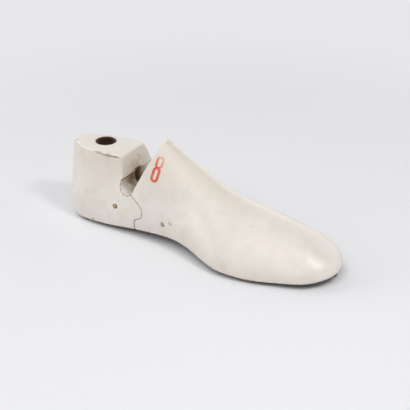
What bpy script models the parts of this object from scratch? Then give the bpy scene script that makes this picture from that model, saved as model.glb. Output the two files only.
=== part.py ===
# Hinged shoemaker's last, right foot: a V-cut plastic last in two halves with full steel
# bottom plates, joined in the waist by a spring link that runs in a mortise.
# Units are metres. While it is modelled, X runs from the heel towards the toe, Y towards the
# inner (medial) side and Z up, and zero is at the back of the heel at floor height. At the end
# the whole last hangs on one empty that puts the origin at the bottom centre of its box.
import math

import bpy
import bmesh
from mathutils import Matrix, Vector
from mathutils.bvhtree import BVHTree

# The last as a whole
LAST_LENGTH = 0.276
SEAT_WIDTH = 0.057
WAIST_WIDTH = 0.054
BALL_WIDTH = 0.092
HEEL_HEIGHT = 0.0715
CONE_HEIGHT = 0.091
BALL_HEIGHT = 0.0523
SEAT_EDGE = 0.0035
SHANK_EDGE = 0.0095
BALL_EDGE = 0.0042
BOTTOM_CROWN = 0.0032
JACK_STOCK = 0.0085

# Fineness of the lofted surface
RIBS_PER_STATION = 5
STEPS_UP = 12
STEPS_ACROSS = 4

# V-cut and the knuckle joint below it, as seen from the side
NOTCH_BACK = 0.0642
NOTCH_BACK_LEAN = math.radians(6.1)
NOTCH_FRONT_LEAN = math.radians(24.5)
POCKET_X = 0.0735
POCKET_Z = 0.0462
POCKET_RADIUS = 0.0075
JOINT_START = math.radians(-47.0)
NOSE_X = 0.0826
NOSE_Z = 0.0256
NOSE_RADIUS = 0.0100
NOSE_END = math.radians(-25.0)
THROAT_X = 0.0842
THROAT_Z = 0.0170
THROAT_FILLET = 0.0030
JOINT_GAP = 0.0005

# Hinge: two pins, the link between them and its spring
CLEARANCE = 0.0003
LINK_PLANE = 0.0060
FRONT_PIN_X = 0.1153
FRONT_PIN_Z = 0.0219
REAR_PIN_X = 0.0628
REAR_PIN_Z = 0.0252
PIN_RADIUS = 0.0020
PIN_RECESS = 0.0008
PIN_CHAMFER = 0.0004
STOP_PIN_RADIUS = 0.0013
STOP_PIN_AHEAD = 0.0083
LINK_THICKNESS = 0.0070
LINK_EYE_RADIUS = 0.0060
LINK_BAR_HEIGHT = 0.0090
LINK_ARM = 0.0026
LINK_BRIDGE = 0.0032
LINK_TAIL_LENGTH = 0.0125
LINK_TAIL_HEIGHT = 0.0046
LINK_TAIL_ROUND = 0.0020
LINK_EDGE_BEVEL = 0.0004
SPRING_WIRE = 0.0012
SPRING_DIAMETER = 0.0072
SPRING_LENGTH = 0.0164
SPRING_TURNS = 7
SADDLE_LENGTH = 0.0050
SADDLE_SPIGOT = 0.0045
SADDLE_SEAT_WRAP = math.radians(78.0)
HEEL_SWING = math.radians(15.0)
LINK_LIFT = math.radians(7.0)
MORTISE_WALL = 0.0007
MORTISE_SIDE = 0.0005
MOUTH_HEIGHT = 0.0520

# Thimble: the steel socket for the jack pin
THIMBLE_X = 0.0322
THIMBLE_Y = 0.0050
THIMBLE_DIAMETER = 0.0190
THIMBLE_BORE = 0.0158
THIMBLE_LENGTH = 0.0320
THIMBLE_RECESS = 0.0004
THIMBLE_LIP = 0.0008

# Bottom plates and the nails that hold them
PLATE_THICKNESS = 0.0014
PLATE_INSET = 0.0022
PLATE_INSET_MOST = 0.3
PLATE_SLANT_LEAST = 0.2
NAIL_HEAD_DIAMETER = 0.0048
NAIL_SHANK_DIAMETER = 0.0022
NAIL_LENGTH = 0.0100
NAIL_POINT = 0.0025
NAIL_RECESS = 0.0002
NAIL_EDGE_SHARE = 0.15
END_NAIL_INSET = 0.0088
HEEL_NAILS = [(0.0, 0.0), (1.9, -1.0), (3.5, -1.0), (1.9, 1.0), (3.5, 1.0)]
FOREPART_NAILS = [(5.1, -1.0), (7.0, -1.0), (8.8, -1.0), (10.5, -1.0), (12.0, 0.0),
                  (10.5, 1.0), (8.8, 1.0), (7.0, 1.0), (5.1, 1.0)]

# Ribs of the last. Each rib rises from the feather edge of the bottom to the crown above it.
# They stand round the last from the middle of the heel back along the outer side to the toe,
# and back along the inner side. All numbers are percentages:
# foot x of LAST_LENGTH, foot y of the zone's half width, foot z of the zone's edge height,
# top x of LAST_LENGTH, top y of half BALL_WIDTH, top z of the zone's height,
# then how far the wall leaves the foot (out of BALL_WIDTH, up of CONE_HEIGHT)
# and how it comes in under the crown (out of BALL_WIDTH, down of CONE_HEIGHT).
RIBS = [
    ("seat", 2.0, 0, 100, 1.6, 0, 100, 8.7, 24, 0.0, 33),
    ("seat", 2.8, -53, 100, 2.1, -16.5, 100, 7.6, 22, 0.0, 31),
    ("seat", 7.9, -92, 103, 10.4, -35, 100, 5.4, 20, 4.7, 31),
    ("seat", 18.4, -99, 130, 23.1, -28.5, 100, 4.3, 20, 3.9, 31),
    ("waist", 31.2, -99, 80, 33.7, 6.5, 100, 6.5, 22, 19.8, 3.3),
    ("waist", 43.4, -100, 100, 42.6, 7.5, 88, 7.6, 22, 20.7, 1),
    ("waist", 51.7, -119, 95, 50.8, 6, 74.7, 6.5, 19, 20.7, 0),
    ("ball", 59.7, -90, 167, 57.7, 4, 113, 4.3, 16.5, 21.7, 0),
    ("ball", 66.5, -101.5, 121, 65.0, 4.5, 100, 3.3, 14, 23.9, 0),
    ("ball", 76.0, -97, 98, 73.4, 6.5, 91, 2.2, 13, 23.9, 0),
    ("ball", 83.6, -84, 109, 82.2, 7.2, 80, 2.8, 12, 20.7, 0),
    ("ball", 94.6, -58, 160, 87.0, 9, 73, 3.6, 11, 16.0, 0),
    ("ball", 100.0, -7, 222, 90.6, 10.5, 64, 5.2, 9, 13.0, 0),
    ("ball", 96.8, 48, 219, 0, 0, 0, 5.2, 12, 16.0, 0),
    ("ball", 88.2, 77, 170, 0, 0, 0, 3.6, 12.8, 17.0, 0),
    ("ball", 79.0, 90, 133, 0, 0, 0, 2.7, 13, 17.0, 0),
    ("ball", 69.3, 85, 131, 0, 0, 0, 2.3, 13.5, 16.3, 0),
    ("ball", 60.6, 62.5, 190, 0, 0, 0, 3.9, 15.5, 17.4, 0),
    ("waist", 51.4, 81, 110, 0, 0, 0, 6.6, 19, 17.3, 0),
    ("waist", 42.1, 72, 110, 0, 0, 0, 8.7, 22, 17.4, 1.4),
    ("waist", 31.5, 83, 90, 0, 0, 0, 12.5, 22, 21.0, 3.3),
    ("seat", 18.8, 95, 143, 23.5, 28.5, 100, 5.5, 22, 27.0, 27),
    ("seat", 9.4, 95, 105, 9.5, 30, 100, 5.0, 20, 9.0, 29.5),
    ("seat", 3.6, 53, 100, 2.4, 15, 100, 7.0, 22, 2.0, 31),
]
RIDGE_START = 4
TOE_RIB = 12

# Colours and finishes
FINISHES = {
    "last_plastic": ((0.74, 0.69, 0.61), 0.45, 0.0),
    "plate_steel": ((0.035, 0.033, 0.032), 0.50, 0.9),
    "hinge_steel": ((0.16, 0.14, 0.12), 0.45, 0.9),
    "spring_steel": ((0.22, 0.21, 0.20), 0.35, 0.9),
    "rusty_steel": ((0.085, 0.034, 0.017), 0.75, 0.6),
}

PARTS = bpy.data.collections.new("shoemakers_last")
CUTTERS = bpy.data.collections.new("cutters")


def clear_scene():
    for old in list(bpy.data.objects):
        bpy.data.objects.remove(old, do_unlink=True)
    bpy.context.scene.collection.children.link(PARTS)
    bpy.context.scene.collection.children.link(CUTTERS)


def make_material(name, finish):
    colour, roughness, metallic = FINISHES[finish]
    material = bpy.data.materials.new(name)
    material.use_nodes = True
    shader = material.node_tree.nodes["Principled BSDF"]
    shader.inputs["Base Color"].default_value = (*colour, 1.0)
    shader.inputs["Roughness"].default_value = roughness
    shader.inputs["Metallic"].default_value = metallic
    material.diffuse_color = (*colour, 1.0)
    return material


def add_part(name, mesh, finish, smooth_angle=35.0):
    part = bpy.data.objects.new(name, mesh)
    PARTS.objects.link(part)
    mesh.materials.clear()
    mesh.materials.append(make_material(name + "_finish", finish))
    mesh.shade_smooth()
    mesh.set_sharp_from_angle(angle=math.radians(smooth_angle))
    return part


def add_cutter(name, mesh):
    cutter = bpy.data.objects.new(name, mesh)
    CUTTERS.objects.link(cutter)
    cutter.hide_render = True
    cutter.display_type = "WIRE"
    return cutter


def boolean(part, cutter, operation="DIFFERENCE"):
    modifier = part.modifiers.new(cutter.name, "BOOLEAN")
    modifier.operation = operation
    modifier.solver = "EXACT"
    modifier.object = cutter


def add_bevel(part, width):
    modifier = part.modifiers.new("edge_bevel", "BEVEL")
    modifier.width = width
    modifier.segments = 1
    modifier.limit_method = "ANGLE"
    modifier.angle_limit = math.radians(50.0)


# Plane geometry, for outlines seen from the side as (x, z) points

def arc(centre_x, centre_z, radius, start, end, step=math.radians(9.0)):
    count = max(2, math.ceil(abs(end - start) / step))
    angles = [start + (end - start) * i / count for i in range(count + 1)]
    return [(centre_x + radius * math.cos(a), centre_z + radius * math.sin(a)) for a in angles]


def fillet(before, corner, after, radius):
    """Round the corner of a path with an arc that touches both of its straight sides."""
    corner = Vector(corner)
    to_before = (Vector(before) - corner).normalized()
    to_after = (Vector(after) - corner).normalized()
    half = to_before.angle(to_after) / 2
    centre = corner + (to_before + to_after).normalized() * (radius / math.sin(half))
    start = corner + to_before * (radius / math.tan(half)) - centre
    end = corner + to_after * (radius / math.tan(half)) - centre
    start_angle = math.atan2(start.y, start.x)
    turn = (math.atan2(end.y, end.x) - start_angle + math.pi) % math.tau - math.pi
    return arc(centre.x, centre.y, radius, start_angle, start_angle + turn, math.radians(22.5))


def rounded(corners):
    """Closed outline from corners (x, z, radius); a radius of zero keeps the corner sharp."""
    points = []
    for i, (x, z, radius) in enumerate(corners):
        before = corners[i - 1][:2]
        after = corners[(i + 1) % len(corners)][:2]
        points += fillet(before, (x, z), after, radius) if radius else [(x, z)]
    return points


def offset_path(points, distance):
    """Open path moved sideways, to its left when distance is positive."""
    path = [Vector(p) for p in points]
    moved = []
    for i, point in enumerate(path):
        before = (point - path[i - 1]).normalized() if i else None
        after = (path[i + 1] - point).normalized() if i + 1 < len(path) else None
        before = before or after
        after = after or before
        along = (before + after).normalized()
        stretch = 1 / max(0.5, along.dot(after))
        moved.append((point.x - along.y * distance * stretch, point.y + along.x * distance * stretch))
    return moved


def flat_mesh(name, outlines, thickness, side=0.0):
    """Mesh of (x, z) outlines, the first solid and the others holes, with its middle at y = side."""
    curve = bpy.data.curves.new(name, "CURVE")
    curve.dimensions = "2D"
    curve.fill_mode = "BOTH"
    curve.extrude = thickness / 2
    for outline in outlines:
        spline = curve.splines.new("POLY")
        spline.points.add(len(outline) - 1)
        for point, (x, z) in zip(spline.points, outline):
            point.co = (x, z, 0.0, 1.0)
        spline.use_cyclic_u = True
    guide = bpy.data.objects.new(name, curve)
    bpy.context.scene.collection.objects.link(guide)
    guide.matrix_world = Matrix.Translation((0, side, 0)) @ Matrix.Rotation(math.pi / 2, 4, "X")
    bpy.context.view_layer.update()
    mesh = bpy.data.meshes.new_from_object(guide.evaluated_get(bpy.context.evaluated_depsgraph_get()))
    mesh.transform(guide.matrix_world)
    bpy.data.objects.remove(guide, do_unlink=True)
    tidy = bmesh.new()
    tidy.from_mesh(mesh)
    bmesh.ops.remove_doubles(tidy, verts=tidy.verts, dist=1e-6)
    tidy.to_mesh(mesh)
    tidy.free()
    mesh.name = name
    return mesh


# The lofted surface of the last

def rib_rows():
    """Each rib as foot point, top point and its four swells, in metres."""
    zones = {
        "seat": (SEAT_WIDTH / 2, SEAT_EDGE, HEEL_HEIGHT + JACK_STOCK),
        "waist": (WAIST_WIDTH / 2, SHANK_EDGE, CONE_HEIGHT),
        "ball": (BALL_WIDTH / 2, BALL_EDGE, BALL_HEIGHT),
    }
    rows = []
    for i, rib in enumerate(RIBS):
        half_width, edge, _ = zones[rib[0]]
        mirrored = RIDGE_START <= len(RIBS) - i < TOE_RIB
        crown = RIBS[len(RIBS) - i] if mirrored else rib
        height = zones[crown[0]][2]
        rows.append([share / 100 * size for share, size in (
            (rib[1], LAST_LENGTH), (rib[2], half_width), (rib[3], edge),
            (crown[4], LAST_LENGTH), (crown[5], BALL_WIDTH / 2), (crown[6], height),
            (rib[7], BALL_WIDTH), (rib[8], CONE_HEIGHT), (rib[9], BALL_WIDTH), (rib[10], CONE_HEIGHT))])
    return rows


def blend_rows(rows, station):
    """Row at a fractional station, on a smooth closed curve through all the rows."""
    i = math.floor(station)
    t = station - i
    a, b, c, d = (rows[(i + k) % len(rows)] for k in (-1, 0, 1, 2))
    return [0.5 * (2 * q + (r - p) * t + (2 * p - 5 * q + 4 * r - s) * t ** 2
                   + (3 * q - p - 3 * r + s) * t ** 3) for p, q, r, s in zip(a, b, c, d)]


def ridge_slope(rows, station, outward):
    """Rise of the ridge line per metre travelled outwards, so that ribs leave it smoothly."""
    side = min(station, len(rows) - station)
    if side < RIDGE_START:
        return 0.0
    step = 1 / RIBS_PER_STATION
    back = blend_rows(rows, max(side - step, RIDGE_START))
    ahead = blend_rows(rows, min(side + step, TOE_RIB))
    run = Vector(ahead[3:6]) - Vector(back[3:6])
    length = run.xy.length
    return outward.xy.dot(run.xy) / length * run.z / length


def rib_points(rows, station):
    """Points up one rib, from the feather edge to the crown."""
    row = blend_rows(rows, station)
    side = min(station, len(rows) - station)
    foot = Vector(row[0:3])
    top = Vector((blend_rows(rows, side) if side >= RIDGE_START else row)[3:6])
    step = 1 / RIBS_PER_STATION
    before = Vector(blend_rows(rows, station - step)[0:2])
    after = Vector(blend_rows(rows, station + step)[0:2])
    along = (after - before).normalized()
    outward = Vector((along.y, -along.x, 0.0))
    low = foot + outward * row[6] + Vector((0, 0, row[7]))
    slope = ridge_slope(rows, station, outward)
    high = top + outward * row[8] + Vector((0, 0, slope * row[8] - row[9]))
    points = []
    for k in range(STEPS_UP + 1):
        t = k / STEPS_UP
        points.append(foot * (1 - t) ** 3 + low * 3 * t * (1 - t) ** 2
                      + high * 3 * t ** 2 * (1 - t) + top * t ** 3)
    return points


def across_bottom(outer, inner, share):
    """Point on the crowned bottom between two facing points of the feather edge."""
    point = outer.lerp(inner, share)
    sag = BOTTOM_CROWN * (inner - outer).length / BALL_WIDTH
    point.z -= sag * 4 * share * (1 - share)
    return point


def feather_pair(rows, station):
    outer = Vector(blend_rows(rows, station)[0:3])
    inner = Vector(blend_rows(rows, len(rows) - station)[0:3])
    return outer, inner


def last_mesh():
    """The whole last before it is sawn: side walls, crowned bottom and the stock on top."""
    rows = rib_rows()
    count = len(RIBS) * RIBS_PER_STATION
    body = bmesh.new()
    walls = [[body.verts.new(p) for p in rib_points(rows, i / RIBS_PER_STATION)] for i in range(count)]
    for i in range(count):
        left, right = walls[i], walls[(i + 1) % count]
        for k in range(STEPS_UP):
            body.faces.new((left[k], right[k], right[k + 1], left[k + 1]))
    bottoms = []
    for i in range(count // 2 + 1):
        outer, inner = walls[i][0], walls[-i % count][0]
        inside = [body.verts.new(across_bottom(outer.co, inner.co, k / STEPS_ACROSS))
                  for k in range(1, STEPS_ACROSS)] if 0 < i < count // 2 else []
        bottoms.append([outer] + inside + [inner])
    fill_strips(body, bottoms)
    ridge_start = RIDGE_START * RIBS_PER_STATION
    fill_strips(body, [[walls[i][-1], walls[-i % count][-1]] for i in range(ridge_start + 1)])
    bmesh.ops.remove_doubles(body, verts=body.verts, dist=1e-6)
    bmesh.ops.dissolve_degenerate(body, edges=body.edges, dist=1e-6)
    bmesh.ops.recalc_face_normals(body, faces=body.faces)
    mesh = bpy.data.meshes.new("last_body")
    body.to_mesh(mesh)
    body.free()
    return mesh


def fill_strips(body, strips):
    """Faces between neighbouring strips; a strip that has shrunk to a point closes as a fan."""
    for near, far in zip(strips, strips[1:]):
        if near[0] is near[-1]:
            near = [near[0]] * len(far)
        if far[0] is far[-1]:
            far = [far[0]] * len(near)
        for k in range(len(near) - 1):
            ring = []
            for vert in (near[k], near[k + 1], far[k + 1], far[k]):
                if vert not in ring:
                    ring.append(vert)
            if len(ring) > 2:
                body.faces.new(ring)


def plate_mesh():
    """One full bottom plate, following the bottom a clearance below it, inset from the edge."""
    rows = rib_rows()
    half = TOE_RIB * RIBS_PER_STATION
    plate = bmesh.new()
    layers = []
    for depth in (CLEARANCE, CLEARANCE + PLATE_THICKNESS):
        strips = []
        for i in range(half + 1):
            outer, inner = feather_pair(rows, i / RIBS_PER_STATION)
            if i in (0, half):
                inward = PLATE_INSET if i == 0 else -PLATE_INSET
                middle = plate.verts.new(outer + Vector((inward, 0, -depth)))
                strips.append([middle])
                continue
            inset = PLATE_INSET / (inner - outer).length
            inset = min(PLATE_INSET_MOST, inset * edge_stretch(rows, i / RIBS_PER_STATION))
            shares = [inset + (1 - 2 * inset) * k / STEPS_ACROSS for k in range(STEPS_ACROSS + 1)]
            strips.append([plate.verts.new(across_bottom(outer, inner, s) - Vector((0, 0, depth)))
                           for s in shares])
        fill_strips(plate, strips)
        layers.append(strips)
    upper, lower = layers
    for side in (0, -1):
        for i in range(half):
            plate.faces.new((upper[i][side], upper[i + 1][side], lower[i + 1][side], lower[i][side]))
    bmesh.ops.recalc_face_normals(plate, faces=plate.faces)
    mesh = bpy.data.meshes.new("bottom_plate")
    plate.to_mesh(mesh)
    plate.free()
    return mesh


def edge_stretch(rows, station):
    """How much further an inset reaches across the last where the edge runs at a slant."""
    step = 1 / RIBS_PER_STATION
    before = Vector(blend_rows(rows, station - step)[0:2])
    after = Vector(blend_rows(rows, station + step)[0:2])
    along = (after - before).normalized()
    return 1 / max(PLATE_SLANT_LEAST, abs(along.x))


# Outlines of the V-cut and the joint

def joint_path():
    """Centre of the joint from the pocket over the nose and down the throat, heel side on its right."""
    start = Vector((POCKET_X + POCKET_RADIUS * math.cos(JOINT_START),
                    POCKET_Z + POCKET_RADIUS * math.sin(JOINT_START)))
    to_start = start - Vector((NOSE_X, NOSE_Z))
    touch = math.atan2(to_start.y, to_start.x) - math.acos(NOSE_RADIUS / to_start.length)
    nose = arc(NOSE_X, NOSE_Z, NOSE_RADIUS, touch, NOSE_END)
    foot = (THROAT_X, -SHANK_EDGE)
    throat = fillet(nose[-1], (THROAT_X, THROAT_Z), foot, THROAT_FILLET)
    return [tuple(start)] + nose + throat + [foot]


def pocket_arc(start, end):
    return arc(POCKET_X, POCKET_Z, POCKET_RADIUS, start, end, math.radians(10.0))


def notch_back_angle():
    """Angle on the pocket's circle where the heel's V face comes down onto it."""
    lean = Vector((math.sin(NOTCH_BACK_LEAN), -math.cos(NOTCH_BACK_LEAN)))
    top = Vector((NOTCH_BACK - POCKET_X, HEEL_HEIGHT - POCKET_Z))
    along = -top.dot(lean)
    beside = (top + lean * along).length
    reach = min(1.0, beside / POCKET_RADIUS)
    touch = top + lean * (along - POCKET_RADIUS * math.sqrt(1 - reach ** 2))
    return math.atan2(touch.y, touch.x) % math.tau


def heel_outline():
    """Everything seen from the side that stays with the heel."""
    half_gap = JOINT_GAP / 2
    turn = half_gap / POCKET_RADIUS
    path = offset_path(joint_path(), -half_gap)
    pocket = pocket_arc(JOINT_START + math.tau - turn, notch_back_angle())
    behind = -BALL_WIDTH
    return (pocket + [(NOTCH_BACK, HEEL_HEIGHT), (behind, HEEL_HEIGHT), (behind, -SHANK_EDGE)]
            + path[:0:-1])


def forepart_outline():
    """Everything seen from the side that stays with the forepart."""
    half_gap = JOINT_GAP / 2
    turn = half_gap / POCKET_RADIUS
    path = offset_path(joint_path(), half_gap)
    pocket = pocket_arc(JOINT_START + turn, -NOTCH_FRONT_LEAN)
    rise = CONE_HEIGHT + JACK_STOCK - pocket[-1][1]
    crown = (pocket[-1][0] + rise * math.tan(NOTCH_FRONT_LEAN), pocket[-1][1] + rise)
    ahead = LAST_LENGTH + BALL_WIDTH
    return pocket + [crown, (ahead, crown[1]), (ahead, -SHANK_EDGE)] + path[:0:-1]


# Places of the hinge

def link_angle():
    return math.atan2(REAR_PIN_Z - FRONT_PIN_Z, FRONT_PIN_X - REAR_PIN_X)


def pin_spacing():
    return math.hypot(FRONT_PIN_X - REAR_PIN_X, REAR_PIN_Z - FRONT_PIN_Z)


def from_link(along, up):
    """(x, z) of a point given along the link, backwards from the front pin, and across it."""
    angle = link_angle()
    return (FRONT_PIN_X - along * math.cos(angle) + up * math.sin(angle),
            FRONT_PIN_Z + along * math.sin(angle) + up * math.cos(angle))


def window_half_height():
    return SPRING_DIAMETER / 2 + CLEARANCE


def window_front():
    return pin_spacing() - PIN_RADIUS - CLEARANCE


def window_back():
    return pin_spacing() + SADDLE_LENGTH + CLEARANCE * 2 + SPRING_LENGTH


def stop_pin_place():
    """The stop pin rests on the tail of the link, just ahead of the front pin."""
    return from_link(-STOP_PIN_AHEAD, LINK_TAIL_HEIGHT / 2 + STOP_PIN_RADIUS + CLEARANCE)


def link_outline():
    back = window_back() + LINK_BRIDGE
    arm = window_half_height() + LINK_ARM
    bar = LINK_BAR_HEIGHT / 2
    shoulder = window_front() - LINK_ARM
    neck = shoulder - (arm - bar) * 2
    tail = LINK_TAIL_HEIGHT / 2
    root = math.sqrt(LINK_EYE_RADIUS ** 2 - bar ** 2)
    upper_eye = math.atan2(bar, root)
    lower_eye = math.asin(tail / LINK_EYE_RADIUS)
    outline = [(neck, bar), (shoulder, arm)]
    outline += fillet((shoulder, arm), (back, arm), (back, -arm), LINK_BRIDGE)
    outline += fillet((back, arm), (back, -arm), (shoulder, -arm), LINK_BRIDGE)
    outline += [(shoulder, -arm), (neck, -bar)]
    outline += arc(0, 0, LINK_EYE_RADIUS, -upper_eye, lower_eye - math.pi, math.radians(15.0))
    outline += fillet((0, -tail), (-LINK_TAIL_LENGTH, -tail), (-LINK_TAIL_LENGTH, tail), LINK_TAIL_ROUND)
    outline += fillet((-LINK_TAIL_LENGTH, -tail), (-LINK_TAIL_LENGTH, tail), (0, tail), LINK_TAIL_ROUND)
    outline += arc(0, 0, LINK_EYE_RADIUS, math.pi - lower_eye, upper_eye, math.radians(15.0))
    return outline


def link_part():
    half = window_half_height()
    front, back = window_front(), window_back()
    window = [(front, -half), (back, -half), (back, half), (front, half)]
    eye = arc(0, 0, PIN_RADIUS + CLEARANCE, 0, math.tau, math.radians(22.5))[:-1]
    outlines = [[from_link(*p) for p in outline] for outline in (link_outline(), window, eye)]
    mesh = flat_mesh("hinge_link", outlines, LINK_THICKNESS, LINK_PLANE)
    link = add_part("hinge_link", mesh, "hinge_steel")
    add_bevel(link, LINK_EDGE_BEVEL)
    return link


def saddle_part():
    """Slide block behind the rear pin: a half-round seat in front, a spigot for the spring behind."""
    seat = PIN_RADIUS + CLEARANCE
    half = SPRING_DIAMETER / 2
    start = pin_spacing()
    lip = start + seat * math.cos(SADDLE_SEAT_WRAP)
    outline = [(start + x, z) for x, z in arc(0, 0, seat, SADDLE_SEAT_WRAP, -SADDLE_SEAT_WRAP)]
    outline += [(lip, -half), (start + SADDLE_LENGTH, -half), (start + SADDLE_LENGTH, half), (lip, half)]
    mesh = flat_mesh("spring_saddle", [[from_link(*p) for p in outline]], LINK_THICKNESS, LINK_PLANE)
    saddle = add_part("spring_saddle", mesh, "hinge_steel")
    radius = SPRING_DIAMETER / 2 - SPRING_WIRE - CLEARANCE
    length = SADDLE_LENGTH / 2 + SADDLE_SPIGOT
    profile = [(0, length / 2), (radius, length / 2), (radius, -length / 2), (0, -length / 2)]
    spigot = turned_cutter("saddle_spigot", profile, 12)
    x, z = from_link(start + SADDLE_LENGTH / 2 + length / 2, 0)
    spigot.location = (x, LINK_PLANE, z)
    spigot.rotation_euler = (0, math.pi / 2 + link_angle(), 0)
    boolean(saddle, spigot, "UNION")
    return saddle


def spring_part():
    """Compression spring between the saddle and the end of the link's window."""
    radius = (SPRING_DIAMETER - SPRING_WIRE) / 2
    points_per_turn = 9
    count = SPRING_TURNS * points_per_turn
    start = pin_spacing() + SADDLE_LENGTH + CLEARANCE + SPRING_WIRE / 2
    run = SPRING_LENGTH - SPRING_WIRE
    centres = []
    for i in range(count + 1):
        turn = math.tau * i / points_per_turn
        x, z = from_link(start + run * i / count, radius * math.sin(turn))
        centres.append(Vector((x, LINK_PLANE + radius * math.cos(turn), z)))
    print("hinge_spring least self-gap (mm):", round(self_gap(centres, points_per_turn) * 1000, 2))
    curve = bpy.data.curves.new("hinge_spring", "CURVE")
    curve.dimensions = "3D"
    curve.bevel_depth = SPRING_WIRE / 2
    curve.bevel_resolution = 1
    curve.use_fill_caps = True
    spline = curve.splines.new("POLY")
    spline.points.add(count)
    for point, centre in zip(spline.points, centres):
        point.co = (*centre, 1.0)
    spring = bpy.data.objects.new("hinge_spring", curve)
    PARTS.objects.link(spring)
    curve.materials.append(make_material("hinge_spring_finish", "spring_steel"))
    return spring


def self_gap(centres, points_per_turn):
    """Least distance between the surfaces of neighbouring turns."""
    nearest = min((a - b).length for i, a in enumerate(centres)
                  for b in centres[i + points_per_turn // 2 + 1:])
    return nearest - SPRING_WIRE


# Turned pieces

def turned_mesh(name, profile, closed=False):
    mesh = bpy.data.meshes.new(name)
    edges = [(i, i + 1) for i in range(len(profile) - 1)]
    if closed:
        edges.append((len(profile) - 1, 0))
    mesh.from_pydata([(r, 0, z) for r, z in profile], edges, [])
    return mesh


def add_screw(turned, steps):
    modifier = turned.modifiers.new("turn", "SCREW")
    modifier.steps = steps
    modifier.render_steps = steps
    modifier.use_merge_vertices = True
    modifier.merge_threshold = 0.00001
    modifier.use_smooth_shade = True
    return turned


def turned_cutter(name, profile, steps):
    return add_screw(add_cutter(name, turned_mesh(name, profile)), steps)


def pin_profile(radius, length, chamfer):
    half = length / 2
    return [(0, half), (radius - chamfer, half), (radius, half - chamfer),
            (radius, chamfer - half), (radius - chamfer, -half), (0, -half)]


def side_faces(surface, x, z):
    """y of the outer and the inner side of the last at a point seen from the side."""
    outer = surface.ray_cast(Vector((x, -BALL_WIDTH, z)), Vector((0, 1, 0)))[0].y
    inner = surface.ray_cast(Vector((x, BALL_WIDTH, z)), Vector((0, -1, 0)))[0].y
    return outer, inner


def cross_pin(name, surface, x, z, radius, halves):
    """Pin driven across the last and set below both sides, with its hole through the halves."""
    outer, inner = side_faces(surface, x, z)
    length = inner - outer - 2 * PIN_RECESS
    turn = (math.pi / 2, 0, 0)
    pin = add_part(name, turned_mesh(name, pin_profile(radius, length, PIN_CHAMFER)), "rusty_steel")
    add_screw(pin, 16)
    pin.location = (x, (outer + inner) / 2, z)
    pin.rotation_euler = turn
    reach = inner - outer
    hole = turned_cutter(name + "_hole", pin_profile(radius + CLEARANCE, reach * 2, PIN_CHAMFER), 16)
    hole.location = pin.location
    hole.rotation_euler = turn
    for half in halves:
        boolean(half, hole)
    return pin


def thimble_part(heelpart):
    outer, inner = THIMBLE_DIAMETER / 2, THIMBLE_BORE / 2
    top = -THIMBLE_RECESS
    bottom = top - THIMBLE_LENGTH
    profile = [(inner + THIMBLE_LIP, top), (outer, top), (outer, bottom), (inner, bottom),
               (inner, top - THIMBLE_LIP)]
    thimble = add_part("thimble", turned_mesh("thimble", profile, closed=True), "rusty_steel")
    add_screw(thimble, 32)
    thimble.location = (THIMBLE_X, THIMBLE_Y, HEEL_HEIGHT)
    room = outer + CLEARANCE
    bore = [(0, JACK_STOCK), (room, JACK_STOCK), (room, bottom - CLEARANCE), (0, bottom - CLEARANCE)]
    cutter = turned_cutter("thimble_bore", bore, 32)
    cutter.location = thimble.location
    boolean(heelpart, cutter)
    return thimble


def nail_profile(grow=0.0, below=0.0):
    head = NAIL_HEAD_DIAMETER / 2 + grow
    shank = NAIL_SHANK_DIAMETER / 2 + grow
    profile = [(0, NAIL_LENGTH + grow), (shank, NAIL_LENGTH - NAIL_POINT + grow),
               (shank, PLATE_THICKNESS), (head, 0)]
    return profile + ([(head, -below), (0, -below)] if below else [(0, 0)])


def nail_part(name, surface, plate, half, station, side):
    """Countersunk nail through the plate, at a share of the width in from the edge."""
    rows = rib_rows()
    outer, inner = feather_pair(rows, station)
    if side:
        share = NAIL_EDGE_SHARE if side < 0 else 1 - NAIL_EDGE_SHARE
        place = across_bottom(outer, inner, share)
    else:
        inward = 1 if station < RIDGE_START else -1
        place = outer + Vector((inward * END_NAIL_INSET, 0, 0))
    under = surface.ray_cast(Vector((place.x, place.y, -BALL_WIDTH)), Vector((0, 0, 1)))[0].z
    location = (place.x, place.y, under - CLEARANCE - PLATE_THICKNESS + NAIL_RECESS)
    nail = add_part(name, turned_mesh(name, nail_profile()), "rusty_steel")
    add_screw(nail, 10)
    nail.location = location
    hole = turned_cutter(name + "_hole", nail_profile(CLEARANCE, PLATE_THICKNESS * 3), 10)
    hole.location = location
    boolean(plate, hole)
    boolean(half, hole)
    return nail


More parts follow.
